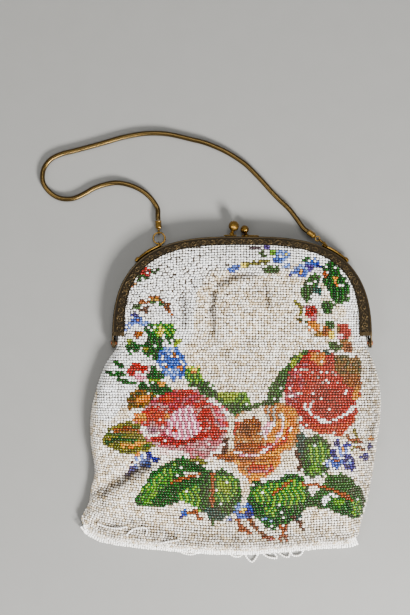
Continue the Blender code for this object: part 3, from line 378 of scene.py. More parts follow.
# The flowers' chart: marks in the order in which they are laid over each other, the right rose first.
# Each names its mix of beads and its shape, then gives its numbers in chart units: a patch has its
# corners, an oval its middle, half sizes and any turn, and a stroke its width and its points.
CHART = """
cool white patch 100,230 300,230 376,290 376,352 356,345 340,300 300,262 262,276 215,268 196,292 192,340
  150,370 112,420 96,420 96,300;
green patch 311,349 301,351 292,358 283,368 275,378 268,389 265,398 272,403 281,396 288,385 295,372;
lime stroke 4 288,370 293,362 299,355; spring green stroke 3 283,377 289,368;
dark green patch 277,397 268,398 258,403 246,406 240,410 247,414 258,410 268,408 278,403;
red patch 290,371 297,362 304,355 311,350 324,350 334,355 343,358 356,366 361,380 360,398 357,412 350,424
  340,435 322,434 306,427 294,420 287,410 283,400 284,386;
mauve red patch 289,372 297,363 306,357 308,372 303,388 298,402 291,408 284,400 285,386;
rose stripes patch 306,366 330,364 346,374 350,392 338,402 318,402 304,396; brick oval 328,400 19,13;
red oval 345,398 9,14; orange patch 309,351 324,351 325,362 318,365 312,360; pale orange oval 318,354 4,3;
gold green patch 334,354 348,356 359,356 361,370 361,383 350,385 340,378 333,368;
orange brown patch 338,374 349,372 361,376 361,390 352,388 343,384; orange oval 356,394 4,7;
red orange patch 298,418 310,422 324,426 341,424 354,414 358,408 355,420 341,436 324,434 308,429;
white stroke 2.4 304,404 309,412 314,417 322,421 330,421 339,418 347,413 352,407;
red white oval 330,379 13,8; red white stroke 4 298,376 304,371 312,372;
red white stroke 5 296,388 304,398 312,404; white stroke 3 281,404 286,408 293,412 299,417;
white oval 290.5,396 2,2; white oval 281,403 3,2; white oval 310,405.5 2,2; white oval 314,392 1.6,1.6;
white oval 327,381 1.6,1.6; white oval 346,392 1.6,1.6; ivory stroke 3 356,406 361,398 364,390;
spring green patch 213,395 222,391 234,391 246,393 252,400 247,408 239,419 233,421 228,414 221,407 215,402;
green columns patch 222,404 234,403 247,405 240,417 234,421 227,415;
lime patch 216,393 228,391 238,392 236,400 224,400;
green columns patch 188,375 199,376 211,383 217,390 216,398 206,397 197,391 189,385;
lime green patch 183,365 191,363 200,371 205,380 196,384 186,378; yellow stroke 2.4 187,366 193,370 198,368;
orange oval 194,372 3,2;
pink patch 134,419 146,404 159,395 172,391 188,388 197,390 208,397 216,402 226,409 232,420 231,429 224,441
  214,449 201,460 189,455 174,451 159,447 146,441 139,432;
mauve red patch 151,402 165,392 182,389 192,389 206,397 212,404 204,410 190,406 172,404 158,408;
salmon patch 196,398 207,398 222,408 230,420 228,430 216,440 206,436 206,416; red oval 185,393 10,4 -10;
red orange oval 166,400 9,5 -20; red oval 151,411 8,6 -30;
mauve red patch 150,404 168,402 190,404 200,410 200,440 180,444 162,440 158,424 148,416;
salmon patch 140,412 152,404 168,404 174,412 168,424 150,428 139,422;
red orange patch 146,414 156,409 166,412 168,418 158,422 148,420; orange oval 168,417 3,3;
pink checks patch 166,432 170,417 177,408 190,405 202,409 203,424 197,436 186,440 174,439;
pale pink patch 138,424 150,426 160,432 158,441 147,437 140,431; mauve oval 152,430 6,4 20;
salmon patch 190,402 210,402 212,420 208,436 200,440 199,424; red stroke 3.4 203,406 205,416 204,426 200,434;
red oval 214,431 5,6 20; crimson stroke 5 154,438 164,442 178,443.5 190,440 200,435; red oval 174,429 3,2.4;
mauve oval 222,416 7,8; rosy patch 209,398 218,401 227,408 231,418 229,428 222,430 219,420 212,410;
pale pink patch 152,446 168,449 186,452 200,458 214,448 226,440 228,446 214,458 200,464 180,458 160,454;
pink patch 188,452 200,450 212,444 218,446 204,462 192,459; white stroke 2.6 209,401 218,404 227,412 231,421;
gold green patch 126,399 131,392 141,389 152,390 159,394 150,402 143,408 134,408 128,410;
orange patch 136,396 148,394 154,397 146,402 137,404; orange patch 134,414 145,411 148,418 141,422 134,421;
olive patch 103,437 108,429 118,423 130,421 141,424 140,433 150,442 155,446 148,451 134,453 120,452 108,448
  104,444; olive stripes patch 106,434 120,427 138,425 138,432 122,435 108,441;
orange brown stroke 4 114,431 126,428 138,430; dark green stroke 3 106,442 118,438 132,440 148,445;
orange stroke 3.4 121,445 132,446 143,442;
pale orange patch 232,427 235,417 241,411 252,408 262,405 274,404 286,403 294,408 299,418 300,432 298,446
  291,456 283,466 274,474 262,478 252,476 244,468 238,462 226,460 222,452 228,444;
cream patch 240,413 252,408 266,405 268,416 262,430 252,436 240,432 236,424;
orange white patch 262,406 276,404 292,408 298,420 290,430 278,432 268,424;
orange patch 276,406 288,404 296,412 292,420 282,416; orange brown oval 250,427 12,9 -20;
brown oval 247,429 5,5; pink white patch 262,424 272,420 284,424 286,434 278,442 266,440 260,434;
rust patch 233,449 240,442 252,441 262,443 268,449 256,452 244,454;
red orange patch 258,446 270,442 280,434 290,424 296,428 294,440 286,450 274,456 262,456;
orange patch 266,436 276,422 286,412 295,416 297,430 292,444 282,454 268,458 250,458 262,450 272,444;
red orange stroke 3 262,452 274,448 284,440 289,428;
pink white stroke 2.6 233,452 244,454 255,454.6 266,450 276,442 281,430 283,414;
orange brown patch 214,454 222,452 234,454 246,457 262,458 276,456 270,462 252,463 236,462 220,460;
orange patch 232,460 248,462 266,461 280,456 290,448 291,458 282,468 270,476 254,482 249,484 243,474 236,466;
red orange patch 244,464 256,463 266,465 262,472 252,474 246,472;
pale orange patch 240,463 248,464 246,472 242,470; red orange patch 262,470 272,464 276,470 266,475;
pink stroke 2.6 248,473 257,470.5 266,471 272,467; red orange stroke 4 238,423 235,429 234,434;
cream patch 281,452 291,450 299,444 300,456 294,466 284,472 272,478 264,480 272,472 280,464;
white stroke 2.6 262,480 276,478 288,470; cream stroke 6 231,416 230,430 230,446;
dark brown stroke 4 226,440 226,450 222,456; rust stroke 4 215,456 228,457;
olive stroke 3.4 190,461 198,459 206,464;
green patch 135,503 139,492 146,482 152,471 162,465 173,461 183,455 192,461 203,466 210,470 204,478 196,486
  186,494 176,502 162,508 148,507;
spring green patch 138,503 142,491 150,481 160,479 170,470 178,472 170,482 158,492 152,504 144,507;
lime green patch 142,490 152,476 166,468 176,464 172,474 158,482 150,492;
dark green patch 176,466 190,462 203,467 198,476 186,480 176,476;
dark green stroke 5 202,470 188,480 174,490 162,499 154,505; rust stroke 3 172,482 182,478 190,477 198,473;
cream stroke 2.4 186,474 194,472 199,476;
lime green patch 176,496 186,488 196,484 208,479 208,504 200,512 190,504 182,501;
green columns patch 200,482 208,470 222,468 232,474 240,482 242,496 241,508 232,514 220,518 206,514 198,508;
lime green patch 214,478 226,474 236,480 238,494 228,502 216,500; lime oval 225,487 6,7;
teal green patch 203,510 214,508 226,514 224,521 211,521; rust stroke 3 212,473 212.5,490 211,507;
green columns patch 247,500 250,488 253,480 262,482 276,480 288,474 297,474 306,480 310,492 312,503 304,512
  296,516 288,524 276,529 267,529 258,520 251,511;
lime green patch 254,488 266,484 280,482 296,478 306,486 306,500 292,508 276,506 262,504 252,498;
green patch 256,508 268,508 282,510 276,522 268,527 260,520;
lime green patch 264,506 276,508 274,518 264,514; rust stroke 2.8 272,494 280,489 286,485 292,480;
teal green patch 297,433 306,433 308,444 302,462 298,464 296,446;
green columns patch 304,440 316,434 328,440 331,452 330,466 324,478 314,480 304,474 300,462;
lime green patch 308,446 320,440 329,450 327,464 316,466 308,458;
spring green patch 306,464 320,466 324,474 312,478; dark brown stroke 3 296,452 300,462 298,470;
dark green patch 306,505 312,496 320,488 328,476 342,472 354,480 362,490 366,500 364,516 352,518 340,514
  326,508 314,508; green columns patch 342,500 352,494 364,498 364,512 352,516 344,510;
lime green patch 350,500 361,501 362,514 354,516; green oval 338,482 10,5 20;
spring green patch 334,496 344,498 342,508 334,506; rust stroke 3 304,483 316,485 330,489 342,494 352,500;
white stroke 2.8 324,504 325,498 330,494 336,496; white stroke 3 306,482 314,479 324,474;
green columns patch 302,303 301,292 305,281 311,274 320,272 319,282 314,290 312,300 308,304;
green columns patch 322,266 329,261 338,266 344,278 346,290 344,303 337,303 330,298 326,288 322,276;
green columns patch 338,276 345,277 349,288 349,300 343,303; orange stroke 3 335,277 335.5,284;
rust stroke 2.6 325,271 326,276; teal green oval 317,291 5,5;
green columns patch 320,303 327,299 334,304 332,313 324,314;
white patch 312,293 320,296 322,306 314,308 309,303; plum stroke 3 250,248.5 258,247.5 263,248.5;
violet oval 266,247 4,2.4; dark green patch 257,253 262,249 268,252 268,257 261,257;
spring green oval 273,252 4,2.6; light blue oval 282,256 8,7; blue oval 277,259 4,3.4;
yellow oval 285,253 2,1.6; white oval 291,260 3,3; blue oval 312,262 7,5; violet oval 308,268 5,4;
navy oval 319,265 4,3.4; light blue oval 301,269 7,5; blue oval 299,273 8,4.4;
navy stroke 2.6 291,274 297,276; orange oval 301,271.5 2.4,2; white oval 312,256 3,2;
green stroke 4 304,260 309,258; blue patch 226,270 231,266 240,264 240,270 231,272;
yellow oval 243.5,264.5 4,3; olive stroke 3.6 248,264 258,263 268,261;
green patch 259,267 270,266 281,267 278,272 266,272; dark green oval 274,269 5,2.6;
light blue oval 286,266 4,2.4; mauve oval 310,308 6,4; crimson oval 311,312 5,6; pink oval 313,317 5,3;
olive stroke 3.4 296,300 300,306 301,313; gold green stroke 4 299,319 305,323;
orange patch 307,323 314,321 320,325 317,332 309,331; green oval 330,325 4,5;
gold stroke 3.4 316,334 322,333; orange brown oval 326,331 4,5; yellow oval 332,335 4,5;
gold green patch 336,324 344,322 349,330 346,344 338,342; red patch 338,325 348,323 351,332 348,341 341,336;
pink white oval 340,337 3,3.4; green patch 328,342 338,341 344,346 338,352 329,349;
orange brown oval 347,347 5,6; cream oval 342,314 4,8; teal green oval 327,352 3,3; white oval 322,345 3,2;
white stroke 3 334,354 346,353 354,356; navy oval 337,443 4,4; navy oval 346,445 4,3.4;
navy oval 333,452 4,4; blue white oval 342,450 7,5; orange oval 342.5,449 2.2,2; navy oval 348,456 5,3.4;
blue oval 336,462 6,6; navy oval 349,463 6,6; rust oval 336,460 2.4,2; light blue oval 348.6,462 2.4,2;
navy oval 353,467 3,3; white oval 342,458 2,2; navy oval 365,456 5,3.6 -20; navy oval 370,447 4,2.6;
orange oval 371,438.5 3.4,2; brown stroke 2.2 346,436 352,440 358,446 364,450;
olive stroke 2.2 355,430 356,440 352,449; rust stroke 2.2 348,440 354,438 362,442;
blue white oval 328,463 4,4; navy oval 148,455 5,4; blue white oval 141,459 6,6; navy oval 156,460 4,3;
orange oval 139,454.5 3,2.6; blue oval 146,463 5,4; navy oval 134,469 5,4; dark brown oval 135,464 3,2;
navy oval 129,474 4,2.4 -30; blue white oval 139,466 4,3; blue oval 243.6,510.5 10,8.6;
light blue oval 240,507 5,4; navy oval 249,513 4,4; yellow oval 243.6,510.8 2.6,2;
orange brown oval 241,510.6 1.4,1.4; white oval 243,503.6 2,1.2; light blue oval 229,519 4,2.6;
navy oval 231,521 2,1.6; blue oval 184,513 4,3 -30; navy oval 181,516 2.4,2;
orange brown stroke 2.2 189,513 196,511; rust stroke 2.4 196,512 198,518 203,519;
dark green stroke 2.2 212,521 213,525; rust stroke 3.4 238,520 241,527 249,531;
rust stroke 3 241,531 252,533; brown stroke 3.4 248,519 254,527 262,534 270,541;
rust stroke 3 262,538 273,539; rust stroke 2.8 281,526 282,533 280,541;
rust stroke 2.6 287,525 283,534 287,540; dark brown stroke 2.6 293,517 299,523 303,528;
teal green oval 298,517 3,2.6; pink oval 272,540 2,1.4; light blue stroke 2 262,519 270,521;
green patch 146,366 156,366 165,378 161,385 150,383 146,374;
green patch 140,344 162,344 160,357 150,358 141,353;
blue patch 163,347 170,345 178,348 183,355 187,362 187,370 182,377 174,380 166,376 161,370 156,361 158,354;
light blue oval 170,350 7,4; light blue oval 172,372 8,5; white oval 164,364 2,2;
orange brown oval 174,356 2.6,2.6; orange brown oval 166.5,367 2.4,1.8; orange oval 180,367 2.8,3;
blue patch 129,315 136,312 141,316 142,323 134,325 129,322; navy oval 135,315 4,2.4;
orange brown oval 138,320 2,2; light blue oval 145,324 6,3; blue white oval 128,326 4,5;
white oval 150,318 8,4; green patch 144,326 153,324 162,330 163,342 158,352 148,350 144,338;
lime green patch 152,325 162,322 175,325 176,332 168,336 156,336 152,330; green columns oval 155,343 8,8;
yellow oval 161,331 3,4; green patch 165,336 174,334 177,341 169,344; orange brown oval 138,334 4,4;
lime oval 130,342 4,2.4; olive oval 146,349 4,2; green patch 124,346 132,342 141,345 140,352 130,354;
dark green patch 152,356 158,352 158,360 153,360;
red patch 127,371 131,363 139,362 147,365 147,373 138,374 130,376; crimson oval 133,370 4,4;
pink white patch 131,376 140,373 147,376 144,382 135,382; pink oval 149,370 3,4;
green stroke 4 107,373 114,373 124,374; dark green stroke 3.6 114,361 122,366;
dark green stroke 3.8 119,379 128,382 137,383 146,386;
green patch 148,379 158,378 168,384 172,391 162,394 152,392 147,386; orange oval 161,384 4,2.6;
lime stroke 3 150,380 158,380 164,378; green oval 153,367 4,3; dark green stroke 2.6 140,386 150,390;
lime stroke 3 176,344 178,340; orange brown stroke 4.8 142,301 152,298.5 160,300 167,306 170,313;
brown oval 167,307 4,5; dark brown oval 144,309 4,4; green stroke 3 150,303 156,302 163,304;
dark green patch 131,304 141,302 143,308 135,311; gold stroke 2.6 148,299 158,300;
mauve red patch 138,270 146,267 151,272 148,278 140,277; red oval 144,270 4,4;
dark green patch 134,276 142,274 150,278 142,281 136,280; dark green oval 154,270 4,2.6;
pale orange oval 132,283 3,4; dark green oval 137,279 2.6,2.6
"""


# Where the beads are darkened, partly by soil and partly by painted shade. Columns: depth from 0 to 1,
# radius and points
SOIL_AND_SHADE = [
    # Painted shade: the fold's shadow on the first stroke, and the shadows in and below the dents of the
    # upper face, from (213.5, 294) to (276, 300). Soil from handling: the spots by the hem from (130, 521)
    # to (174, 534). The other strokes only darken the lower left below the fold and the right, bottom and
    # left edges.
    (0.70, 5.0, [(94, 497), (108, 488), (122, 480), (134, 473), (147, 464)]),
    (0.80, 2.4, [(213.5, 294), (211.5, 312), (214, 330)]), (0.30, 5.0, [(214, 292), (212, 330)]),
    (0.50, 2.8, [(267, 286), (268, 304)]), (0.55, 3.2, [(218, 285), (234, 277), (252, 275)]),
    (0.40, 4.5, [(184, 296), (184, 320)]), (0.20, 6.0, [(249, 338), (250, 350)]),
    (0.16, 7.0, [(214, 330), (222, 352), (240, 366)]), (0.26, 5.0, [(96, 524), (116, 528), (140, 530)]),
    (0.40, 6.0, [(130, 521), (141, 526)]), (0.34, 6.0, [(160, 530), (174, 534)]),
    (0.26, 7.0, [(92, 515), (104, 505), (100, 516)]), (0.16, 6.0, [(258, 292), (276, 300)]),
    (0.60, 16.0, [(376, 352), (378, 400), (374, 470), (366, 540)]),
    (0.46, 14.0, [(100, 530), (170, 540), (260, 546), (350, 542)]),
    (0.16, 12.0, [(98, 420), (94, 470), (110, 470)]),
]


def soil_and_shade_depth(points):
    """How dark each bead is with soil and painted shade, from the strokes above."""
    depth = np.zeros(len(points))
    for most, radius, line in SOIL_AND_SHADE:
        depth = np.maximum(depth, most * np.exp(-(line_distance(points, line)[0] / radius) ** 2))
    return depth


def inside_patch(points, corners):
    """Which points lie inside a patch, by crossings to the right of each point."""
    inside = np.zeros(len(points), bool)
    for start, end in zip(corners, np.roll(corners, -1, axis=0)):
        crosses = (start[1] > points[:, 1]) != (end[1] > points[:, 1])
        rise = end[1] - start[1] if end[1] != start[1] else 1e-9
        meets = start[0] + (points[:, 1] - start[1]) / rise * (end[0] - start[0])
        inside ^= crosses & (points[:, 0] < meets)
    return inside


def read_numbers(words):
    return np.array([[float(n) for n in word.split(",")] for word in words])


def read_mark(entry):
    """A mark of the chart as its mix of beads, its shape and the words of its numbers."""
    words = entry.split()
    spot = next(number for number, word in enumerate(words) if word in ("patch", "oval", "stroke"))
    return " ".join(words[:spot]), words[spot], words[spot + 1:]


# Shares of the marks' beads that are white by chance, where the flowers are sparse and elsewhere
SPARSE_WHITES = 0.09
OTHER_WHITES = 0.015


def chart_beads(points, rows, columns):
    """The colour of each bead from its place on the chart and its row and column."""
    mixes = dict(line.split(": ") for line in BEAD_MIXES.strip().split("\n"))
    names = list(mixes)
    mix = np.zeros(len(points), int)
    wander = np.stack([np.sin(points[:, 1] * 0.9) + np.sin(points[:, 0] * 0.37 + 1.3),
                       np.sin(points[:, 0] * 0.8) + np.sin(points[:, 1] * 0.41 + 0.6)], axis=1)
    points = points + 0.35 * wander
    for name, shape, words in map(read_mark, CHART.split(";")):
        if shape == "patch":
            hit = inside_patch(points, read_numbers(words))
        elif shape == "stroke":
            hit = line_distance(points, read_numbers(words[1:]))[0] < float(words[0]) / 2 + 0.3
        else:
            middle, sizes = read_numbers(words[:2])
            turn = math.radians(float(words[2])) if len(words) > 2 else 0.0
            off = points - middle
            along = off[:, 0] * math.cos(turn) + off[:, 1] * math.sin(turn)
            over = off[:, 1] * math.cos(turn) - off[:, 0] * math.sin(turn)
            hit = (along / sizes[0]) ** 2 + (over / sizes[1]) ** 2 < 1
        mix[hit] = names.index(name)
    chance = beading.random(len(points))
    colours = np.zeros((len(points), 3))
    for number, name in enumerate(names):
        kind, *hexes = mixes[name].split()
        table_of = np.array([linear(hex_colour) for hex_colour in hexes])
        order = {"mixed": (chance * len(table_of)).astype(int), "columns": columns,
                 "rows": rows, "checks": rows + columns}[kind] % len(table_of)
        if name not in PALE_MIXES:
            grey = table_of.mean(axis=1, keepdims=True)
            is_earthy = any(word in name for word in ("orange", "brown", "gold", "rust", "olive"))
            vividness = 1.12 if is_earthy else 1.30 if 'blue' in name else 1.55
            table_of = np.clip(grey + (table_of - grey) * vividness, 0, 1)
            table_of *= DEPTHS.get(name, GREEN_DEPTH if 'green' in name else OTHER_DEPTH)
        colours = np.where((mix == number)[:, None], table_of[order], colours)
    stray = beading.random(len(points))
    is_sparse = (points[:, 1] < 345) | ((points[:, 1] < 392) & (points[:, 0] < 190))
    colours[(stray < np.where(is_sparse, SPARSE_WHITES, OTHER_WHITES)) & (mix > 0)] = linear("#F4F0E8")
    # Beads darkened toward grey brown by the strokes above: soil, and painted shade in the fold and the
    # dents.
    soil_and_shade_tone = np.array(linear("#524A40")) * (0.4 + 0.6 * beading.random((len(points), 1)))
    depth = soil_and_shade_depth(points)[:, None] * (0.5 + beading.random((len(points), 1)))
    depth = np.clip(depth, 0, 0.9)
    return colours * (1 - depth) + soil_and_shade_tone * depth


def edit_whole(piece, operator, **settings):
    """Run one operator on the whole of a piece in edit mode."""
    select_only(piece)
    bpy.ops.object.mode_set(mode='EDIT')
    bpy.ops.mesh.select_all(action='SELECT')
    operator(**settings)
    bpy.ops.object.mode_set(mode='OBJECT')


# How much narrower a bead is at its ends, for one with a corner ring at its middle and one without
WAISTED_END = 0.46
PLAIN_END = 0.84


def model_bead(sides, with_waist):
    """One seed bead of unit size with its hole's axis along X: a short rod that is rounded at its ends."""
    bpy.ops.object.select_all(action='DESELECT')
    bpy.ops.mesh.primitive_cylinder_add(vertices=sides, radius=0.5, depth=1.0, location=(0, 0, 0),
                                        rotation=(0, math.pi / 2, 0))
    bead = bpy.context.object
    bpy.ops.object.transform_apply(rotation=True)
    if with_waist:
        edit_whole(bead, bpy.ops.mesh.bisect, plane_co=(0, 0, 0), plane_no=(1, 0, 0))
    shape = read_places(bead.data)
    at_end = np.abs(shape[:, 0]) > 0.1
    shape[at_end, 1:] *= WAISTED_END if with_waist else PLAIN_END
    faces = [list(face.vertices) for face in bead.data.polygons]
    bpy.data.objects.remove(bead)
    return shape, faces


def unit(vectors):
    return vectors / np.linalg.norm(vectors, axis=1)[:, None]


def string_beads(name, model, places, ways, normals, sizes, colours):
    """A mesh of beads: each has a place, the way of its hole, its outward normal, size and colour."""
    shape, faces = model
    count = len(places)
    ways = unit(ways - (ways * normals).sum(1)[:, None] * normals)
    over = np.cross(normals, ways)
    axes = np.stack([ways, over, normals], axis=1)
    corners = np.einsum('bmk,bkj->bmj', shape[None] * sizes[:, None, :], axes) + places[:, None, :]
    loops = np.concatenate(faces)
    lengths = np.array([len(face) for face in faces])
    starts = np.concatenate([[0], np.cumsum(lengths)[:-1]])
    mesh = bpy.data.meshes.new(name)
    mesh.vertices.add(count * len(shape))
    mesh.vertices.foreach_set("co", corners.ravel())
    mesh.loops.add(count * len(loops))
    offsets = np.arange(count)
    mesh.loops.foreach_set("vertex_index", (loops[None] + offsets[:, None] * len(shape)).ravel())
    mesh.polygons.add(count * len(faces))
    mesh.polygons.foreach_set("loop_start", (starts[None] + offsets[:, None] * len(loops)).ravel())
    mesh.polygons.foreach_set("use_smooth", np.ones(count * len(faces), bool))
    tint = mesh.attributes.new("bead_colour", 'FLOAT_COLOR', 'POINT')
    tinted = np.ones((count, len(shape), 4))
    tinted[:, :, :3] = colours[:, None, :]
    tint.data.foreach_set("color", tinted.ravel())
    # Each bead has a cell of its own on the layout that its baked colours use
    cells = math.ceil(math.sqrt(count))
    flat = shape[:, :2] * 0.56 + shape[:, 2:] * np.array([[0.24, 0.17]])
    spots = np.stack([offsets % cells, offsets // cells], axis=1) + 0.5
    spread = (spots[:, None, :] + flat[loops][None]) / cells
    mesh.uv_layers.new(name="OFBake").data.foreach_set("uv", spread.ravel())
    mesh.update(calc_edges=True)
    mesh.validate()
    return new_object(name, mesh)


def cut_rows(levels, height):
    """The lines along which the skin has one level of the knitting, with the skin's normals."""
    places, normals, triangles = skin_places, skin_normals, skin_triangles
    above = levels > height
    count_above = above[triangles].sum(axis=1)
    crossing = triangles[(count_above == 1) | (count_above == 2)]
    if not len(crossing):
        return []
    flags = above[crossing]
    lone = np.where((flags.sum(axis=1) == 1)[:, None], flags, ~flags).argmax(axis=1)
    index = np.arange(len(crossing))
    tip = crossing[index, lone]
    keys = []
    for step in (1, 2):
        other = crossing[index, (lone + step) % 3]
        keys.append(np.minimum(tip, other) * len(places) + np.maximum(tip, other))
    unique, spots = np.unique(np.concatenate(keys), return_inverse=True)
    low, high = unique // len(places), unique % len(places)
    share = ((height - levels[low]) / (levels[high] - levels[low]))[:, None]
    points = places[low] + (places[high] - places[low]) * share
    facing = normals[low] + (normals[high] - normals[low]) * share
    links = [[] for _ in unique]
    for first, second in zip(spots[:len(crossing)], spots[len(crossing):]):
        links[first].append(second)
        links[second].append(first)
    seen = np.zeros(len(unique), bool)
    lines = []
    for start in sorted(range(len(unique)), key=lambda spot: len(links[spot])):
        if seen[start]:
            continue
        chain = [start]
        seen[start] = True
        while True:
            following = [spot for spot in links[chain[-1]] if not seen[spot]]
            if not following:
                break
            chain.append(following[0])
            seen[following[0]] = True
        is_closed = len(links[start]) == 2 and start in links[chain[-1]]
        if is_closed:
            chain.append(start)
        lines.append((points[chain], facing[chain], is_closed))
    return lines


# The hem's line in mm, from left to right
HEM_LINE = [
    (-83.0, -119.5), (-80.9, -119.0), (-72.6, -123.9), (-62.6, -126.2), (-52.5, -127.9), (-42.3, -129.1),
    (-32.1, -130.0), (-21.9, -130.9), (-11.6, -131.7), (-1.4, -132.5), (8.9, -132.8), (19.1, -132.9),
    (29.4, -132.7), (39.6, -131.8), (49.8, -131.0), (60.1, -130.2), (70.3, -129.3), (80.5, -128.6),
    (90.0, -128.2), (95.4, -126.6),
]
HEM_MIDDLE = -131.0 * MM
ARCHING = 5.0 * MM
ROW_MARGIN = 0.6 * MM
SHORTEST_ROW = 6 * MM
WAY_REACH = 0.4 * MM


def row_levels(places):
    """Height of each place in the knitting, whose rows follow the hem below and the frame above."""
    hem_points = np.array(HEM_LINE[1:]) * MM
    hem_height = np.interp(places[:, 0], hem_points[:, 0], hem_points[:, 1]) - HEM_MIDDLE
    near_hem = np.clip((-40 * MM - places[:, 1]) / (80 * MM), 0, 1)
    near_top = np.clip((places[:, 1] - 10 * MM) / (60 * MM), 0, 1)
    arch = ARCHING * ((places[:, 0] - frame_middle) / (70 * MM)) ** 2
    return places[:, 1] - near_hem * hem_height + near_top * arch


def reach_along(points):
    """How far each point is along the line that the points make."""
    return np.concatenate([[0], np.cumsum(np.linalg.norm(np.diff(points, axis=0), axis=1))])


def interpolate(spots, reach, values):
    return np.stack([np.interp(spots, reach, column) for column in values.T], axis=1)


def lay_rows():
    """Bead places, ways, normals, rows and columns along every row of the skin."""
    found = []
    levels = row_levels(skin_places)
    first = levels.min() + ROW_MARGIN
    last = levels.max() - ROW_MARGIN
    for row in range(int((last - first) / ROW_PITCH) + 1):
        for points, facing, is_closed in cut_rows(levels, first + row * ROW_PITCH):
            reach = reach_along(points)
            if reach[-1] < SHORTEST_ROW:
                continue
            off_middle = np.abs(points[:, 0] - frame_middle) - 0.5 * facing[:, 2] * (1 if is_closed else 0)
            middle = reach[off_middle.argmin()]
            if is_closed:
                count = round(reach[-1] / BEAD_PITCH)
                steps = np.arange(count) - count // 2
                spots = (middle + steps * reach[-1] / count) % reach[-1]
            else:
                steps = np.arange(-int(middle / BEAD_PITCH), int((reach[-1] - middle) / BEAD_PITCH) + 1)
                spots = middle + steps * BEAD_PITCH
            ahead = interpolate(spots + WAY_REACH, reach, points)
            behind = interpolate(spots - WAY_REACH, reach, points)
            found.append((interpolate(spots, reach, points), ahead - behind,
                          interpolate(spots, reach, facing), np.full(len(spots), row), steps))
    return [np.concatenate(parts) for parts in zip(*found)]


bead_places, bead_ways, bead_normals, bead_rows, bead_columns = lay_rows()
bead_normals = unit(bead_normals)
chart = to_chart(bead_places)
is_front = bead_normals[:, 2] > -0.05
chart[~is_front, 0] = 2 * FRAME_MIDDLE_PIXEL - chart[~is_front, 0]
bead_colours = chart_beads(chart, bead_rows, bead_columns)

# The beads under the frame's face can't be seen, so they are left off the strings
HIDDEN_DEPTH = 2.6 * MM
HIDDEN_RISE = 8 * MM
ARCH_HALF_SPAN = 84.5 * MM
ARCH_RISE = 71.5 * MM
ARCH_ROUNDNESS = (3.0, 2.8)
BAND_AT_TOP = 5.7 * MM
BAND_AT_FOOT = 8.2 * MM
arch_base = frame_top - ARCH_RISE


def arch_points(angles):
    """Points of the frame's outer edge, for angles from 0 at the right foot to pi at the left."""
    across = ARCH_HALF_SPAN * np.abs(np.cos(angles)) ** (2 / ARCH_ROUNDNESS[0]) * np.sign(np.cos(angles))
    up = ARCH_RISE * np.abs(np.sin(angles)) ** (2 / ARCH_ROUNDNESS[1])
    return np.stack([across + frame_middle, up + arch_base], axis=1)


def band_width(up):
    share = np.clip(1 - (up - arch_base) / ARCH_RISE, 0, 1)
    return BAND_AT_TOP + (BAND_AT_FOOT - BAND_AT_TOP) * share * share * (3 - 2 * share)


arch_edge = arch_points(np.linspace(math.pi, 0, 361))
from_edge = line_distance(bead_places[:, :2], arch_edge)[0]
under_band = band_width(np.maximum(bead_places[:, 1], arch_base)) - from_edge
is_hidden = (under_band > HIDDEN_DEPTH) & (bead_places[:, 1] > arch_base + HIDDEN_RISE)

# The beads lie unevenly, most of all at the upper left of the face
DRIFT = 0.12 * MM
TURN = 0.20
GROWTH = 0.06
GROWTH_LIMITS = (0.86, 1.12)
TINT = 0.09
unevenness = 0.4 + 1.3 * np.exp(-((chart[:, 0] - 165) / 62) ** 2 - ((chart[:, 1] - 275) / 42) ** 2)
drift = beading.normal(size=(len(bead_places), 2)) * DRIFT * (0.3 + unevenness[:, None])
sideways = unit(np.cross(bead_normals, bead_ways))
bead_ways = unit(bead_ways)
bead_turns = beading.normal(size=len(bead_places)) * TURN * (0.3 + unevenness)
laid_ways = bead_ways * np.cos(bead_turns)[:, None] + sideways * np.sin(bead_turns)[:, None]
laid_places = (bead_places - bead_normals * BEAD_BELOW_SKIN
               + bead_ways * drift[:, :1] + sideways * drift[:, 1:])
growth = 1 + beading.normal(size=(len(bead_places), 1)) * GROWTH
bead_sizes = np.array([[BEAD_LENGTH, BEAD_WIDTH, BEAD_HEIGHT]]) * np.clip(growth, *GROWTH_LIMITS)
# Rows are level in height, so on a steep slope they lie further apart and the beads are wider
bead_sizes[:, 1] /= np.sqrt(np.clip(1 - bead_normals[:, 1] ** 2, 0.64, 1))
bead_tints = np.clip(bead_colours * (1 + beading.normal(size=(len(bead_places), 1)) * TINT), 0, 1)

# Opaque pressed glass: a bright small highlight on each bead over a deep, even colour.
# Tumbled edges and age dull some beads, which the noise in the roughness gives.
seed_glass, tree, shader = new_material("opaque_seed_glass")
tint = add_node(tree, "ShaderNodeAttribute", attribute_name="bead_colour")
place = add_node(tree, "ShaderNodeTexCoord")
handling = add_node(tree, "ShaderNodeTexNoise", {
    "Vector": place.outputs["Object"], "Scale": 18.0, "Detail": 4.0, "Roughness": 0.6})
grime = add_node(tree, "ShaderNodeMapRange", {
    "Value": handling.outputs["Fac"], "From Min": 0.45, "From Max": 0.75, "To Min": 0.0, "To Max": 0.22})
soil_and_shade_tone = add_node(tree, "ShaderNodeMix", {
    "Factor": grime.outputs["Result"], "A": tint.outputs["Color"], "B": (*linear("#8A7660"), 1)},
    data_type='RGBA')
tree.links.new(soil_and_shade_tone.outputs[2], shader.inputs["Base Color"])
tumbled = add_node(tree, "ShaderNodeTexNoise", {"Vector": place.outputs["Object"], "Scale": 500.0})
dulling = add_node(tree, "ShaderNodeMapRange", {
    "Value": tumbled.outputs["Fac"], "From Min": 0.3, "From Max": 0.7, "To Min": 0.09, "To Max": 0.26})
tree.links.new(dulling.outputs["Result"], shader.inputs["Roughness"])
shader.inputs["IOR"].default_value = 1.52
shader.inputs["Specular IOR Level"].default_value = 0.22

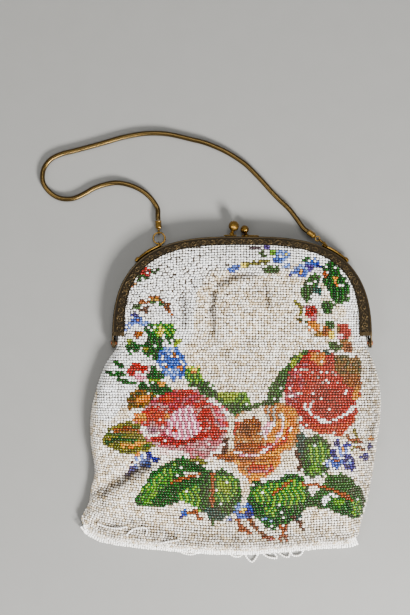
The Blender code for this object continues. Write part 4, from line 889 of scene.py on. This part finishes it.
# The beads are cut into pieces at heights below the frame's feet, to keep each under the triangles
# allowed for a piece
UPPER_CUT = 6 * MM
LOWER_CUT = 66 * MM
BACK_CUT = 30 * MM
front_bead = model_bead(FRONT_SIDES, True)
back_bead = model_bead(BACK_SIDES, False)
is_upper = bead_places[:, 1] > arch_base - UPPER_CUT
is_lower = bead_places[:, 1] < arch_base - LOWER_CUT
is_back_upper = bead_places[:, 1] > arch_base - BACK_CUT
BEAD_PIECES = [
    ("beads_front_upper", front_bead, is_front & is_upper),
    ("beads_front_middle", front_bead, is_front & ~is_upper & ~is_lower),
    ("beads_front_lower", front_bead, is_front & is_lower),
    ("beads_back_upper", back_bead, ~is_front & is_back_upper),
    ("beads_back_lower", back_bead, ~is_front & ~is_back_upper),
]
for piece_name, bead_model, wanted in BEAD_PIECES:
    wanted = wanted & ~is_hidden
    piece = string_beads(piece_name, bead_model, laid_places[wanted], laid_ways[wanted],
                         bead_normals[wanted], bead_sizes[wanted], bead_tints[wanted])
    dress(piece, seed_glass)
    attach(piece, "root")

# Frame halves
# Each half is stamped from thin brass sheet: a face with raised scrolling leaves, a beaded line along
# its outer edge and a plain rim that meets the other half. It is browned with age and the ornament's
# high places are rubbed bright.
FRAME_SHEET = 0.8 * MM
PARTING_HEIGHT = 5.6 * MM
PARTING_GAP = 0.15 * MM
HALF_DEPTH = 5.1 * MM
ORNAMENT_RISE = 0.5 * MM
SCROLL_PITCH = 6.2 * MM
BAND_STATION = 0.40 * MM
BAND_FOOT_RISE = 9.4 * MM
BAND_COLUMNS = 26

# Leaves of one scroll. Columns: middle across and along as shares of half the scroll, half length,
# half width, turn in degrees and height
SCROLL_LEAVES = [
    (-0.10, 0.62, 0.30, 0.13, 35, 1.0), (0.22, 0.48, 0.27, 0.12, -5, 0.95),
    (0.44, 0.20, 0.25, 0.11, -45, 0.9), (0.42, -0.16, 0.24, 0.11, -85, 0.9),
    (0.16, -0.40, 0.26, 0.12, -125, 0.95), (-0.20, -0.44, 0.27, 0.12, 170, 1.0),
    (-0.62, 0.30, 0.26, 0.10, 80, 0.85), (-0.70, -0.14, 0.24, 0.10, 110, 0.8),
    (0.80, 0.56, 0.22, 0.09, 20, 0.8), (0.84, -0.50, 0.22, 0.09, -30, 0.8),
    (-0.92, 0.66, 0.20, 0.09, 60, 0.7), (0.02, 0.04, 0.13, 0.12, 0, 1.0),
]


def ornament(reach, share):
    """Height of the raised leaves, 0 to 1, from the place along the arch and across the face."""
    cell = np.floor(reach / SCROLL_PITCH)
    along = 2 * (reach / SCROLL_PITCH - cell) - 1
    flip = np.where(cell % 2 == 0, 1.0, -1.0)
    over = (share - 0.56) / 0.38 * flip
    height = np.zeros_like(reach)
    for middle_along, middle_over, half_length, half_width, turn, top in SCROLL_LEAVES:
        for shift in (-2, 0, 2):
            a = along - middle_along - shift + 0.12 * np.sin(cell * 7.3 + turn)
            b = (over if shift == 0 else -over) - middle_over
            unlike = np.sin((cell + shift / 2) * 12.9 + turn)
            cos, sin = np.cos(math.radians(turn) + 0.5 * unlike), np.sin(math.radians(turn) + 0.5 * unlike)
            u, v = (a * cos + b * sin) / half_length, (b * cos - a * sin) / half_width
            dome = np.clip(1 - u * u - v * v, 0, 1) ** 0.6
            vein = 1 - 0.35 * np.exp(-(v / 0.22) ** 2)
            height = np.maximum(height, top * dome * vein)
    stem_line = 0.56 + 0.20 * np.sin(math.pi * reach / SCROLL_PITCH)
    stem = np.exp(-((share - stem_line) / 0.04) ** 2) * 0.45
    grain = 0.22 * (np.sin(reach / MM * 7.1 + 9 * share) * np.sin(share * 37.0) + 1)
    beading_wave = np.sin(reach / MM * 2 * math.pi / 0.9)
    outer_line = np.exp(-((share - 0.075) / 0.035) ** 2) * (0.85 + 0.15 * beading_wave)
    inner_line = 0.7 * np.exp(-((share - 0.955) / 0.03) ** 2)
    field = np.clip((share - 0.14) / 0.05, 0, 1) * np.clip((0.92 - share) / 0.05, 0, 1)
    return np.clip(np.maximum(np.maximum(height, stem) * field + grain * field * 0.5,
                              np.maximum(outer_line, inner_line)), 0, 1)


def keep_wear_and_lap_shade(mesh, values):
    """Keep a share for each corner for the material to read: how rubbed the frame is there, and on the
    chain, low in the laps where the material paints shade.
    """
    mesh.attributes.new("wear_and_lap_shade", 'FLOAT', 'POINT').data.foreach_set("value", values.ravel())


def build_tube(name, corners, wear_and_lap_shade):
    """A closed tube from its rings of corners."""
    stations, ring = corners.shape[:2]
    faces = [(station * ring + side, station * ring + (side + 1) % ring,
              (station + 1) * ring + (side + 1) % ring, (station + 1) * ring + side)
             for station in range(stations - 1) for side in range(ring)]
    faces.append(tuple(range(ring - 1, -1, -1)))
    faces.append(tuple((stations - 1) * ring + side for side in range(ring)))
    mesh = bpy.data.meshes.new(name)
    mesh.from_pydata(corners.reshape(-1, 3).tolist(), [], faces)
    keep_wear_and_lap_shade(mesh, wear_and_lap_shade)
    return new_object(name, mesh)


def frame_half(name, node, face, facing):
    """The stamped half: a fine arch over the solid's own hinge feet."""
    dense = arch_points(np.linspace(math.pi, 0, 6001))
    dense = dense[dense[:, 1] >= arch_base + BAND_FOOT_RISE]
    reach = reach_along(dense)
    spots = np.linspace(0, reach[-1], round(reach[-1] / BAND_STATION) + 1)
    line = interpolate(spots, reach, dense)
    line[0, 1] = line[-1, 1] = arch_base + BAND_FOOT_RISE
    way = unit(np.gradient(line, axis=0))
    inward = np.stack([way[:, 1], -way[:, 0]], axis=1)
    inward[0], inward[-1] = (1, 0), (-1, 0)
    width = band_width(line[:, 1])
    shares = np.linspace(0, 1, BAND_COLUMNS)
    relief = ornament(spots[:, None] + 0 * shares[None], shares[None] + 0 * spots[:, None])
    edge = np.clip(shares / 0.03, 0, 1) * np.clip((1 - shares) / 0.03, 0, 1)
    relief = relief * edge[None]
    parting = PARTING_HEIGHT + facing * PARTING_GAP
    inner_face = face - facing * FRAME_SHEET
    depths = np.concatenate([np.tile([FRAME_SHEET, FRAME_SHEET, 0, 0, 0], (len(spots), 1)),
                             width[:, None] * shares[None], width[:, None]], axis=1)
    mids = [parting + (face - parting) * 0.35, parting + (face - parting) * 0.8]
    heights = np.concatenate([np.tile([inner_face, parting, parting, *mids], (len(spots), 1)),
                              face + facing * ORNAMENT_RISE * relief,
                              np.full((len(spots), 1), inner_face)], axis=1)
    wear_and_lap_shade = np.concatenate([np.tile([0.2, 0.5, 0.6, 0.5, 0.55], (len(spots), 1)), relief,
                           np.full((len(spots), 1), 0.1)], axis=1)
    flat = line[:, None, :] + inward[:, None, :] * depths[:, :, None]
    half = build_tube(name, np.concatenate([flat, heights[:, :, None]], axis=2), wear_and_lap_shade)
    feet = new_object(name + "_feet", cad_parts[node].data.copy())
    edit_whole(feet, bpy.ops.mesh.remove_doubles, threshold=0.005 * MM)
    edit_whole(feet, bpy.ops.mesh.bisect, plane_co=(0, arch_base + BAND_FOOT_RISE, 0),
               plane_no=(0, 1, 0), clear_outer=True, use_fill=True)
    keep_wear_and_lap_shade(feet.data, np.full(len(feet.data.vertices), 0.5))
    select_only(half, feet)
    bpy.ops.object.join()
    edit_whole(half, bpy.ops.mesh.normals_make_consistent, inside=False)
    bpy.ops.object.shade_smooth_by_angle(angle=math.radians(40))
    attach(half, "root")
    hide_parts(node)
    return half


# Stamped brass sheet, never lacquered: olive-brown oxide in the hollows, warm metal where it is rubbed
browned_brass, tree, shader = new_material("browned_stamped_brass")
place = add_node(tree, "ShaderNodeTexCoord")
wear_and_lap_shade = add_node(tree, "ShaderNodeAttribute", attribute_name="wear_and_lap_shade")
patches = add_node(tree, "ShaderNodeTexNoise", {
    "Vector": place.outputs["Object"], "Scale": 90.0, "Detail": 5.0, "Roughness": 0.65})
rubbed = add_node(tree, "ShaderNodeMath", {0: wear_and_lap_shade.outputs["Fac"], 1: patches.outputs["Fac"]},
                  operation='MULTIPLY')
shine = add_node(tree, "ShaderNodeMapRange", {
    "Value": rubbed.outputs[0], "From Min": 0.12, "From Max": 0.62})
brass_tone = add_node(tree, "ShaderNodeMix", {
    "Factor": shine.outputs["Result"], "A": (*linear("#1E180E"), 1), "B": (*linear("#5E4C2E"), 1)},
    data_type='RGBA')
tree.links.new(brass_tone.outputs[2], shader.inputs["Base Color"])
shader.inputs["Metallic"].default_value = 0.9
oxide = add_node(tree, "ShaderNodeMapRange", {
    "Value": shine.outputs["Result"], "To Min": 0.62, "To Max": 0.34})
tree.links.new(oxide.outputs["Result"], shader.inputs["Roughness"])
for half_name, node_name, face, facing in (
        ("frame_front_embossed", "frame_front", PARTING_HEIGHT + HALF_DEPTH, 1),
        ("frame_back_embossed", "frame_back", PARTING_HEIGHT - HALF_DEPTH, -1)):
    dress(frame_half(half_name, node_name, face, facing), browned_brass)

# Copper rivets
# Round-headed copper rivets pin the halves together at the feet, set by hand, dull with age.
aged_copper, tree, shader = new_material("aged_copper")
_, tone = mottle(tree, 700.0, 3.0, "#7A3A22", "#C47A50")
tree.links.new(tone, shader.inputs["Base Color"])
shader.inputs["Metallic"].default_value = 1.0
shader.inputs["Roughness"].default_value = 0.42
for side in ("left", "right"):
    dress(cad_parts["hinge_rivet_" + side], aged_copper)

# Clasp, lugs, rings and caps
# Turned and bent brass, buffed bright: two balls that snap past each other, wires soldered to the
# shoulders, jump rings, and the turned caps on the chain's ends.
bright_brass, tree, shader = new_material("buffed_brass")
smudge, tone = mottle(tree, 300.0, 4.0, "#725422", "#9C7838")
tree.links.new(tone, shader.inputs["Base Color"])
shader.inputs["Metallic"].default_value = 1.0
smudged = add_node(tree, "ShaderNodeMapRange", {
    "Value": smudge.outputs["Fac"], "To Min": 0.16, "To Max": 0.36})
tree.links.new(smudged.outputs["Result"], shader.inputs["Roughness"])
for node_name in ("clasp_knob_front", "clasp_knob_back", "chain_lug_left", "chain_lug_right",
                  "jump_ring_left", "jump_ring_right", "chain_end_left", "chain_end_right"):
    dress(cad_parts[node_name], bright_brass)

# Leaf on each lug: the soldered wire is covered by a tapered leaf that ends in a bead of brass
LEAF_SHARES = (0.615, 0.80)
LEAF_RADIUS = 1.25 * MM
LEAF_OFFSET = 1.3 * MM
LEAF_HEIGHT = 3.6 * MM
LEAF_POINTS = 24
LEAF_BEAD = 1.2 * LEAF_RADIUS
for side, facing in (("left", -1), ("right", 1)):
    shares = np.linspace(*LEAF_SHARES, LEAF_POINTS)
    line = arch_points(np.arccos(shares ** (ARCH_ROUNDNESS[0] / 2)))
    way = unit(np.gradient(line, axis=0))
    line += np.stack([-way[:, 1], way[:, 0]], axis=1) * LEAF_OFFSET
    line[:, 0] = frame_middle + facing * (line[:, 0] - frame_middle)
    swelling = 0.30 + 0.70 * np.sin(np.linspace(0.15, math.pi - 0.25, LEAF_POINTS)) ** 0.8
    curve = bpy.data.curves.new("leaf", 'CURVE')
    curve.dimensions = '3D'
    spline = curve.splines.new('POLY')
    spline.points.add(len(line) - 1)
    for point, (across, up), radius in zip(spline.points, line, swelling):
        point.co = (across, up, LEAF_HEIGHT, 1)
        point.radius = radius
    curve.bevel_depth = LEAF_RADIUS
    curve.bevel_resolution = 4
    curve.use_fill_caps = True
    leaf = new_object("chain_lug_leaf_" + side, curve)
    select_only(leaf)
    bpy.ops.object.convert(target='MESH')
    bpy.ops.mesh.primitive_uv_sphere_add(segments=20, ring_count=12, radius=LEAF_BEAD,
                                         location=(*line[-1], LEAF_HEIGHT))
    bead_of_brass = bpy.context.object
    select_only(leaf, bead_of_brass)
    bpy.ops.object.join()
    bpy.ops.object.shade_smooth()
    dress(leaf, bright_brass)
    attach(leaf, "root")

# Snake chain
# A brass snake chain: stamped waves of thin brass interlocked into a smooth, round, flexible cord.
# Its links are 0.35 mm; they are drawn at 0.9 mm, the finest that shows.
CHAIN_RADIUS = 1.7 * MM
LINK_PITCH = 0.9 * MM
LINK_STATION = 0.3 * MM
LINK_RELIEF = 0.045
CHAIN_SIDES = 14
CHAIN_ROUTE = [
    (-33.9, 82.9, 3.0), (-34.0, 86.3, 3.0), (-34.5, 91.1, 1.7), (-39.1, 97.7, 1.7), (-45.3, 102.7, 1.7),
    (-52.6, 105.9, 1.7), (-60.4, 107.4, 1.7), (-68.3, 106.4, 1.7), (-75.9, 103.9, 1.7), (-82.9, 100.0, 1.7),
    (-90.3, 97.0, 1.7), (-98.2, 97.3, 1.7), (-105.0, 101.3, 1.7), (-109.3, 107.9, 1.7), (-109.1, 115.8, 1.7),
    (-104.8, 122.4, 1.7), (-97.8, 126.1, 1.7), (-90.1, 128.1, 1.7), (-82.3, 130.1, 1.7), (-74.6, 132.2, 1.7),
    (-66.9, 134.4, 1.7), (-59.2, 136.7, 1.7), (-51.4, 138.4, 1.7), (-43.5, 139.6, 1.7), (-35.5, 139.9, 1.7),
    (-27.5, 139.3, 1.7), (-19.7, 137.7, 1.7), (-11.9, 135.8, 1.7), (-4.2, 133.9, 1.7), (3.3, 131.1, 1.7),
    (10.6, 127.7, 1.7), (17.5, 123.6, 1.7), (23.9, 118.9, 1.7), (29.6, 113.3, 1.7), (35.1, 107.5, 1.7),
    (40.4, 101.5, 1.7), (45.9, 95.8, 2.2), (51.6, 90.2, 3.4), (56.5, 84.0, 4.3), (61.1, 77.5, 5.0),
    (63.8, 75.5, 5.5),
]


def smooth_line(points, spacing):
    """Even points along a smooth curve through the given points, with unit ways."""
    points = np.asarray(points, float)
    padded = np.concatenate([2 * points[:1] - points[1:2], points, 2 * points[-1:] - points[-2:-1]])
    share = np.linspace(0, 1, 24, endpoint=False)[:, None]
    parts = []
    for before, start, end, after in zip(padded, padded[1:], padded[2:], padded[3:]):
        parts.append(0.5 * (2 * start + (end - before) * share
                            + (2 * before - 5 * start + 4 * end - after) * share ** 2
                            + (3 * start - before - 3 * end + after) * share ** 3))
    dense = np.concatenate(parts + [points[-1:]])
    reach = reach_along(dense)
    spots = np.linspace(0, reach[-1], max(2, round(reach[-1] / spacing) + 1))
    line = interpolate(spots, reach, dense)
    return line, unit(np.gradient(line, axis=0)), spots


line, way, spots = smooth_line(np.array(CHAIN_ROUTE) * MM, LINK_STATION)
side_way = unit(np.cross(way, (0, 0, 1)))
up_way = np.cross(side_way, way)
angles = np.linspace(0, 2 * math.pi, CHAIN_SIDES, endpoint=False)
weave = np.cos(2 * math.pi * spots[:, None] / LINK_PITCH + 2.0 * np.sin(2 * angles)[None])
radius = CHAIN_RADIUS * (1 - LINK_RELIEF + LINK_RELIEF * weave)
corners = (line[:, None] + radius[:, :, None] * (side_way[:, None] * np.cos(angles)[None, :, None]
                                                 + up_way[:, None] * np.sin(angles)[None, :, None]))
# The share kept with the chain is low in its grooves, where its material paints the shade of the lapping
# links.
chain = build_tube("snake_chain_links", corners, 0.5 + 0.5 * weave)
edit_whole(chain, bpy.ops.mesh.normals_make_consistent, inside=False)
bpy.ops.object.shade_smooth_by_angle(angle=math.radians(50))

# Rolled brass, polished by use: a narrow highlight, and dark lines painted as shade where the links lap
chain_brass, tree, shader = new_material("polished_link_brass")
wear_and_lap_shade = add_node(tree, "ShaderNodeAttribute", attribute_name="wear_and_lap_shade")
lap = add_node(tree, "ShaderNodeMapRange", {
    "Value": wear_and_lap_shade.outputs["Fac"], "From Min": 0.0, "From Max": 0.5, "To Min": 0.35, "To Max": 1.0})
_, tone = mottle(tree, 40.0, 4.0, "#3E3018", "#6A5530")
lap_shaded_tone = add_node(tree, "ShaderNodeMix", {
    "Factor": lap.outputs["Result"], "A": (*linear("#2E2414"), 1), "B": tone}, data_type='RGBA')
tree.links.new(lap_shaded_tone.outputs[2], shader.inputs["Base Color"])
shader.inputs["Metallic"].default_value = 1.0
shader.inputs["Roughness"].default_value = 0.24
dress(chain, chain_brass)
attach(chain, "root")
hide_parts("snake_chain")

# Fringe
# An edging of six strings of white beads along the hem, from which short loops of strung beads
# hang. Where the thread has slipped, strands lie on the cloth and the table.
FRINGE_PITCH = 1.50 * MM
FRINGE_BEAD = (1.42 * MM, 1.5 * MM, 1.5 * MM)
FRINGE_DRIFT = 0.12 * MM
FRINGE_GROWTH = 0.05
BEAD_OVER_FACE = 0.7 * MM

# Strings of the edging. Columns: place outside the hem's line and height over the table
EDGING_ROWS = [(-2.3 * MM, 5.0 * MM), (-1.2 * MM, 4.3 * MM), (0.0 * MM, 3.4 * MM), (1.1 * MM, 2.5 * MM),
               (2.1 * MM, 1.6 * MM), (3.0 * MM, 0.8 * MM)]

# Loops and loose strands. Columns: height over the table in mm, or none for a strand that lies on
# the bag's face, then points in the view
STRANDS = [
    (1.0, [(229, 554), (233, 558), (240, 558.5), (243.5, 555)]),
    (0.8, [(244, 554), (247.5, 560), (252.5, 564), (257, 559), (259.6, 553)]),
    (1.0, [(261, 553), (265, 557), (270.4, 559.6), (277.5, 560), (276, 556.5), (273, 553)]),
    (0.8, [(277, 553), (283.8, 558), (288.7, 559.2), (290.5, 556), (290, 552)]),
    (0.8, [(291, 553), (293.6, 557.5), (299.8, 557.5), (303, 555), (304.3, 551)]),
    (1.0, [(178, 552), (184, 555.5), (192, 556.5), (199, 554)]),
    (None, [(127, 535), (131, 531), (136, 528.5), (145, 528), (147, 531), (146, 535)]),
    (None, [(98, 524), (106, 527), (116, 528.5), (126, 527)]),
    (None, [(161, 543.6), (168, 542), (178, 540.5)]),
]


def face_height(points):
    """Height of the middle of a bead that lies on the bag's face at each point."""
    face = skin_places[skin_normals[:, 2] > 0.2]
    nearest = [np.hypot(*(face[:, :2] - point).T).argmin() for point in points]
    return face[nearest, 2] + BEAD_OVER_FACE


edging_colours = np.array([linear(h) for h in "#F6F4F0 #FBFAF6 #ECE8E0 #F2EEE6".split()])
strung = []
hem, hem_way, _ = smooth_line(np.array(HEM_LINE) * MM, FRINGE_PITCH)
hem_out = np.stack([hem_way[:, 1], -hem_way[:, 0]], axis=1)
for out, height in EDGING_ROWS:
    row = hem + hem_out * out + beading.normal(size=hem.shape) * FRINGE_DRIFT
    strung.append((np.column_stack([row, height + beading.normal(size=len(row)) * FRINGE_DRIFT]),
                   np.column_stack([hem_way, np.zeros(len(row))])))
for height, points in STRANDS:
    row, row_way, _ = smooth_line(np.array([at_pixel(*point) for point in points]), FRINGE_PITCH)
    heights = face_height(row) if height is None else np.full(len(row), height * MM)
    strung.append((np.column_stack([row, heights]),
                   np.column_stack([row_way, np.zeros(len(row))])))
fringe_places = np.concatenate([places for places, _ in strung])
fringe_ways = np.concatenate([ways for _, ways in strung])
fringe_count = len(fringe_places)
fringe_normals = np.tile([0.0, 0.0, 1.0], (fringe_count, 1))
fringe_sizes = np.array([FRINGE_BEAD]) * (1 + beading.normal(size=(fringe_count, 1)) * FRINGE_GROWTH)
fringe_tints = edging_colours[(beading.random(fringe_count) * len(edging_colours)).astype(int)]
fringe = string_beads("fringe_strings", front_bead, fringe_places, fringe_ways, fringe_normals,
                      fringe_sizes, fringe_tints)
dress(fringe, seed_glass)
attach(fringe, "root")
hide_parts("loop_fringe")
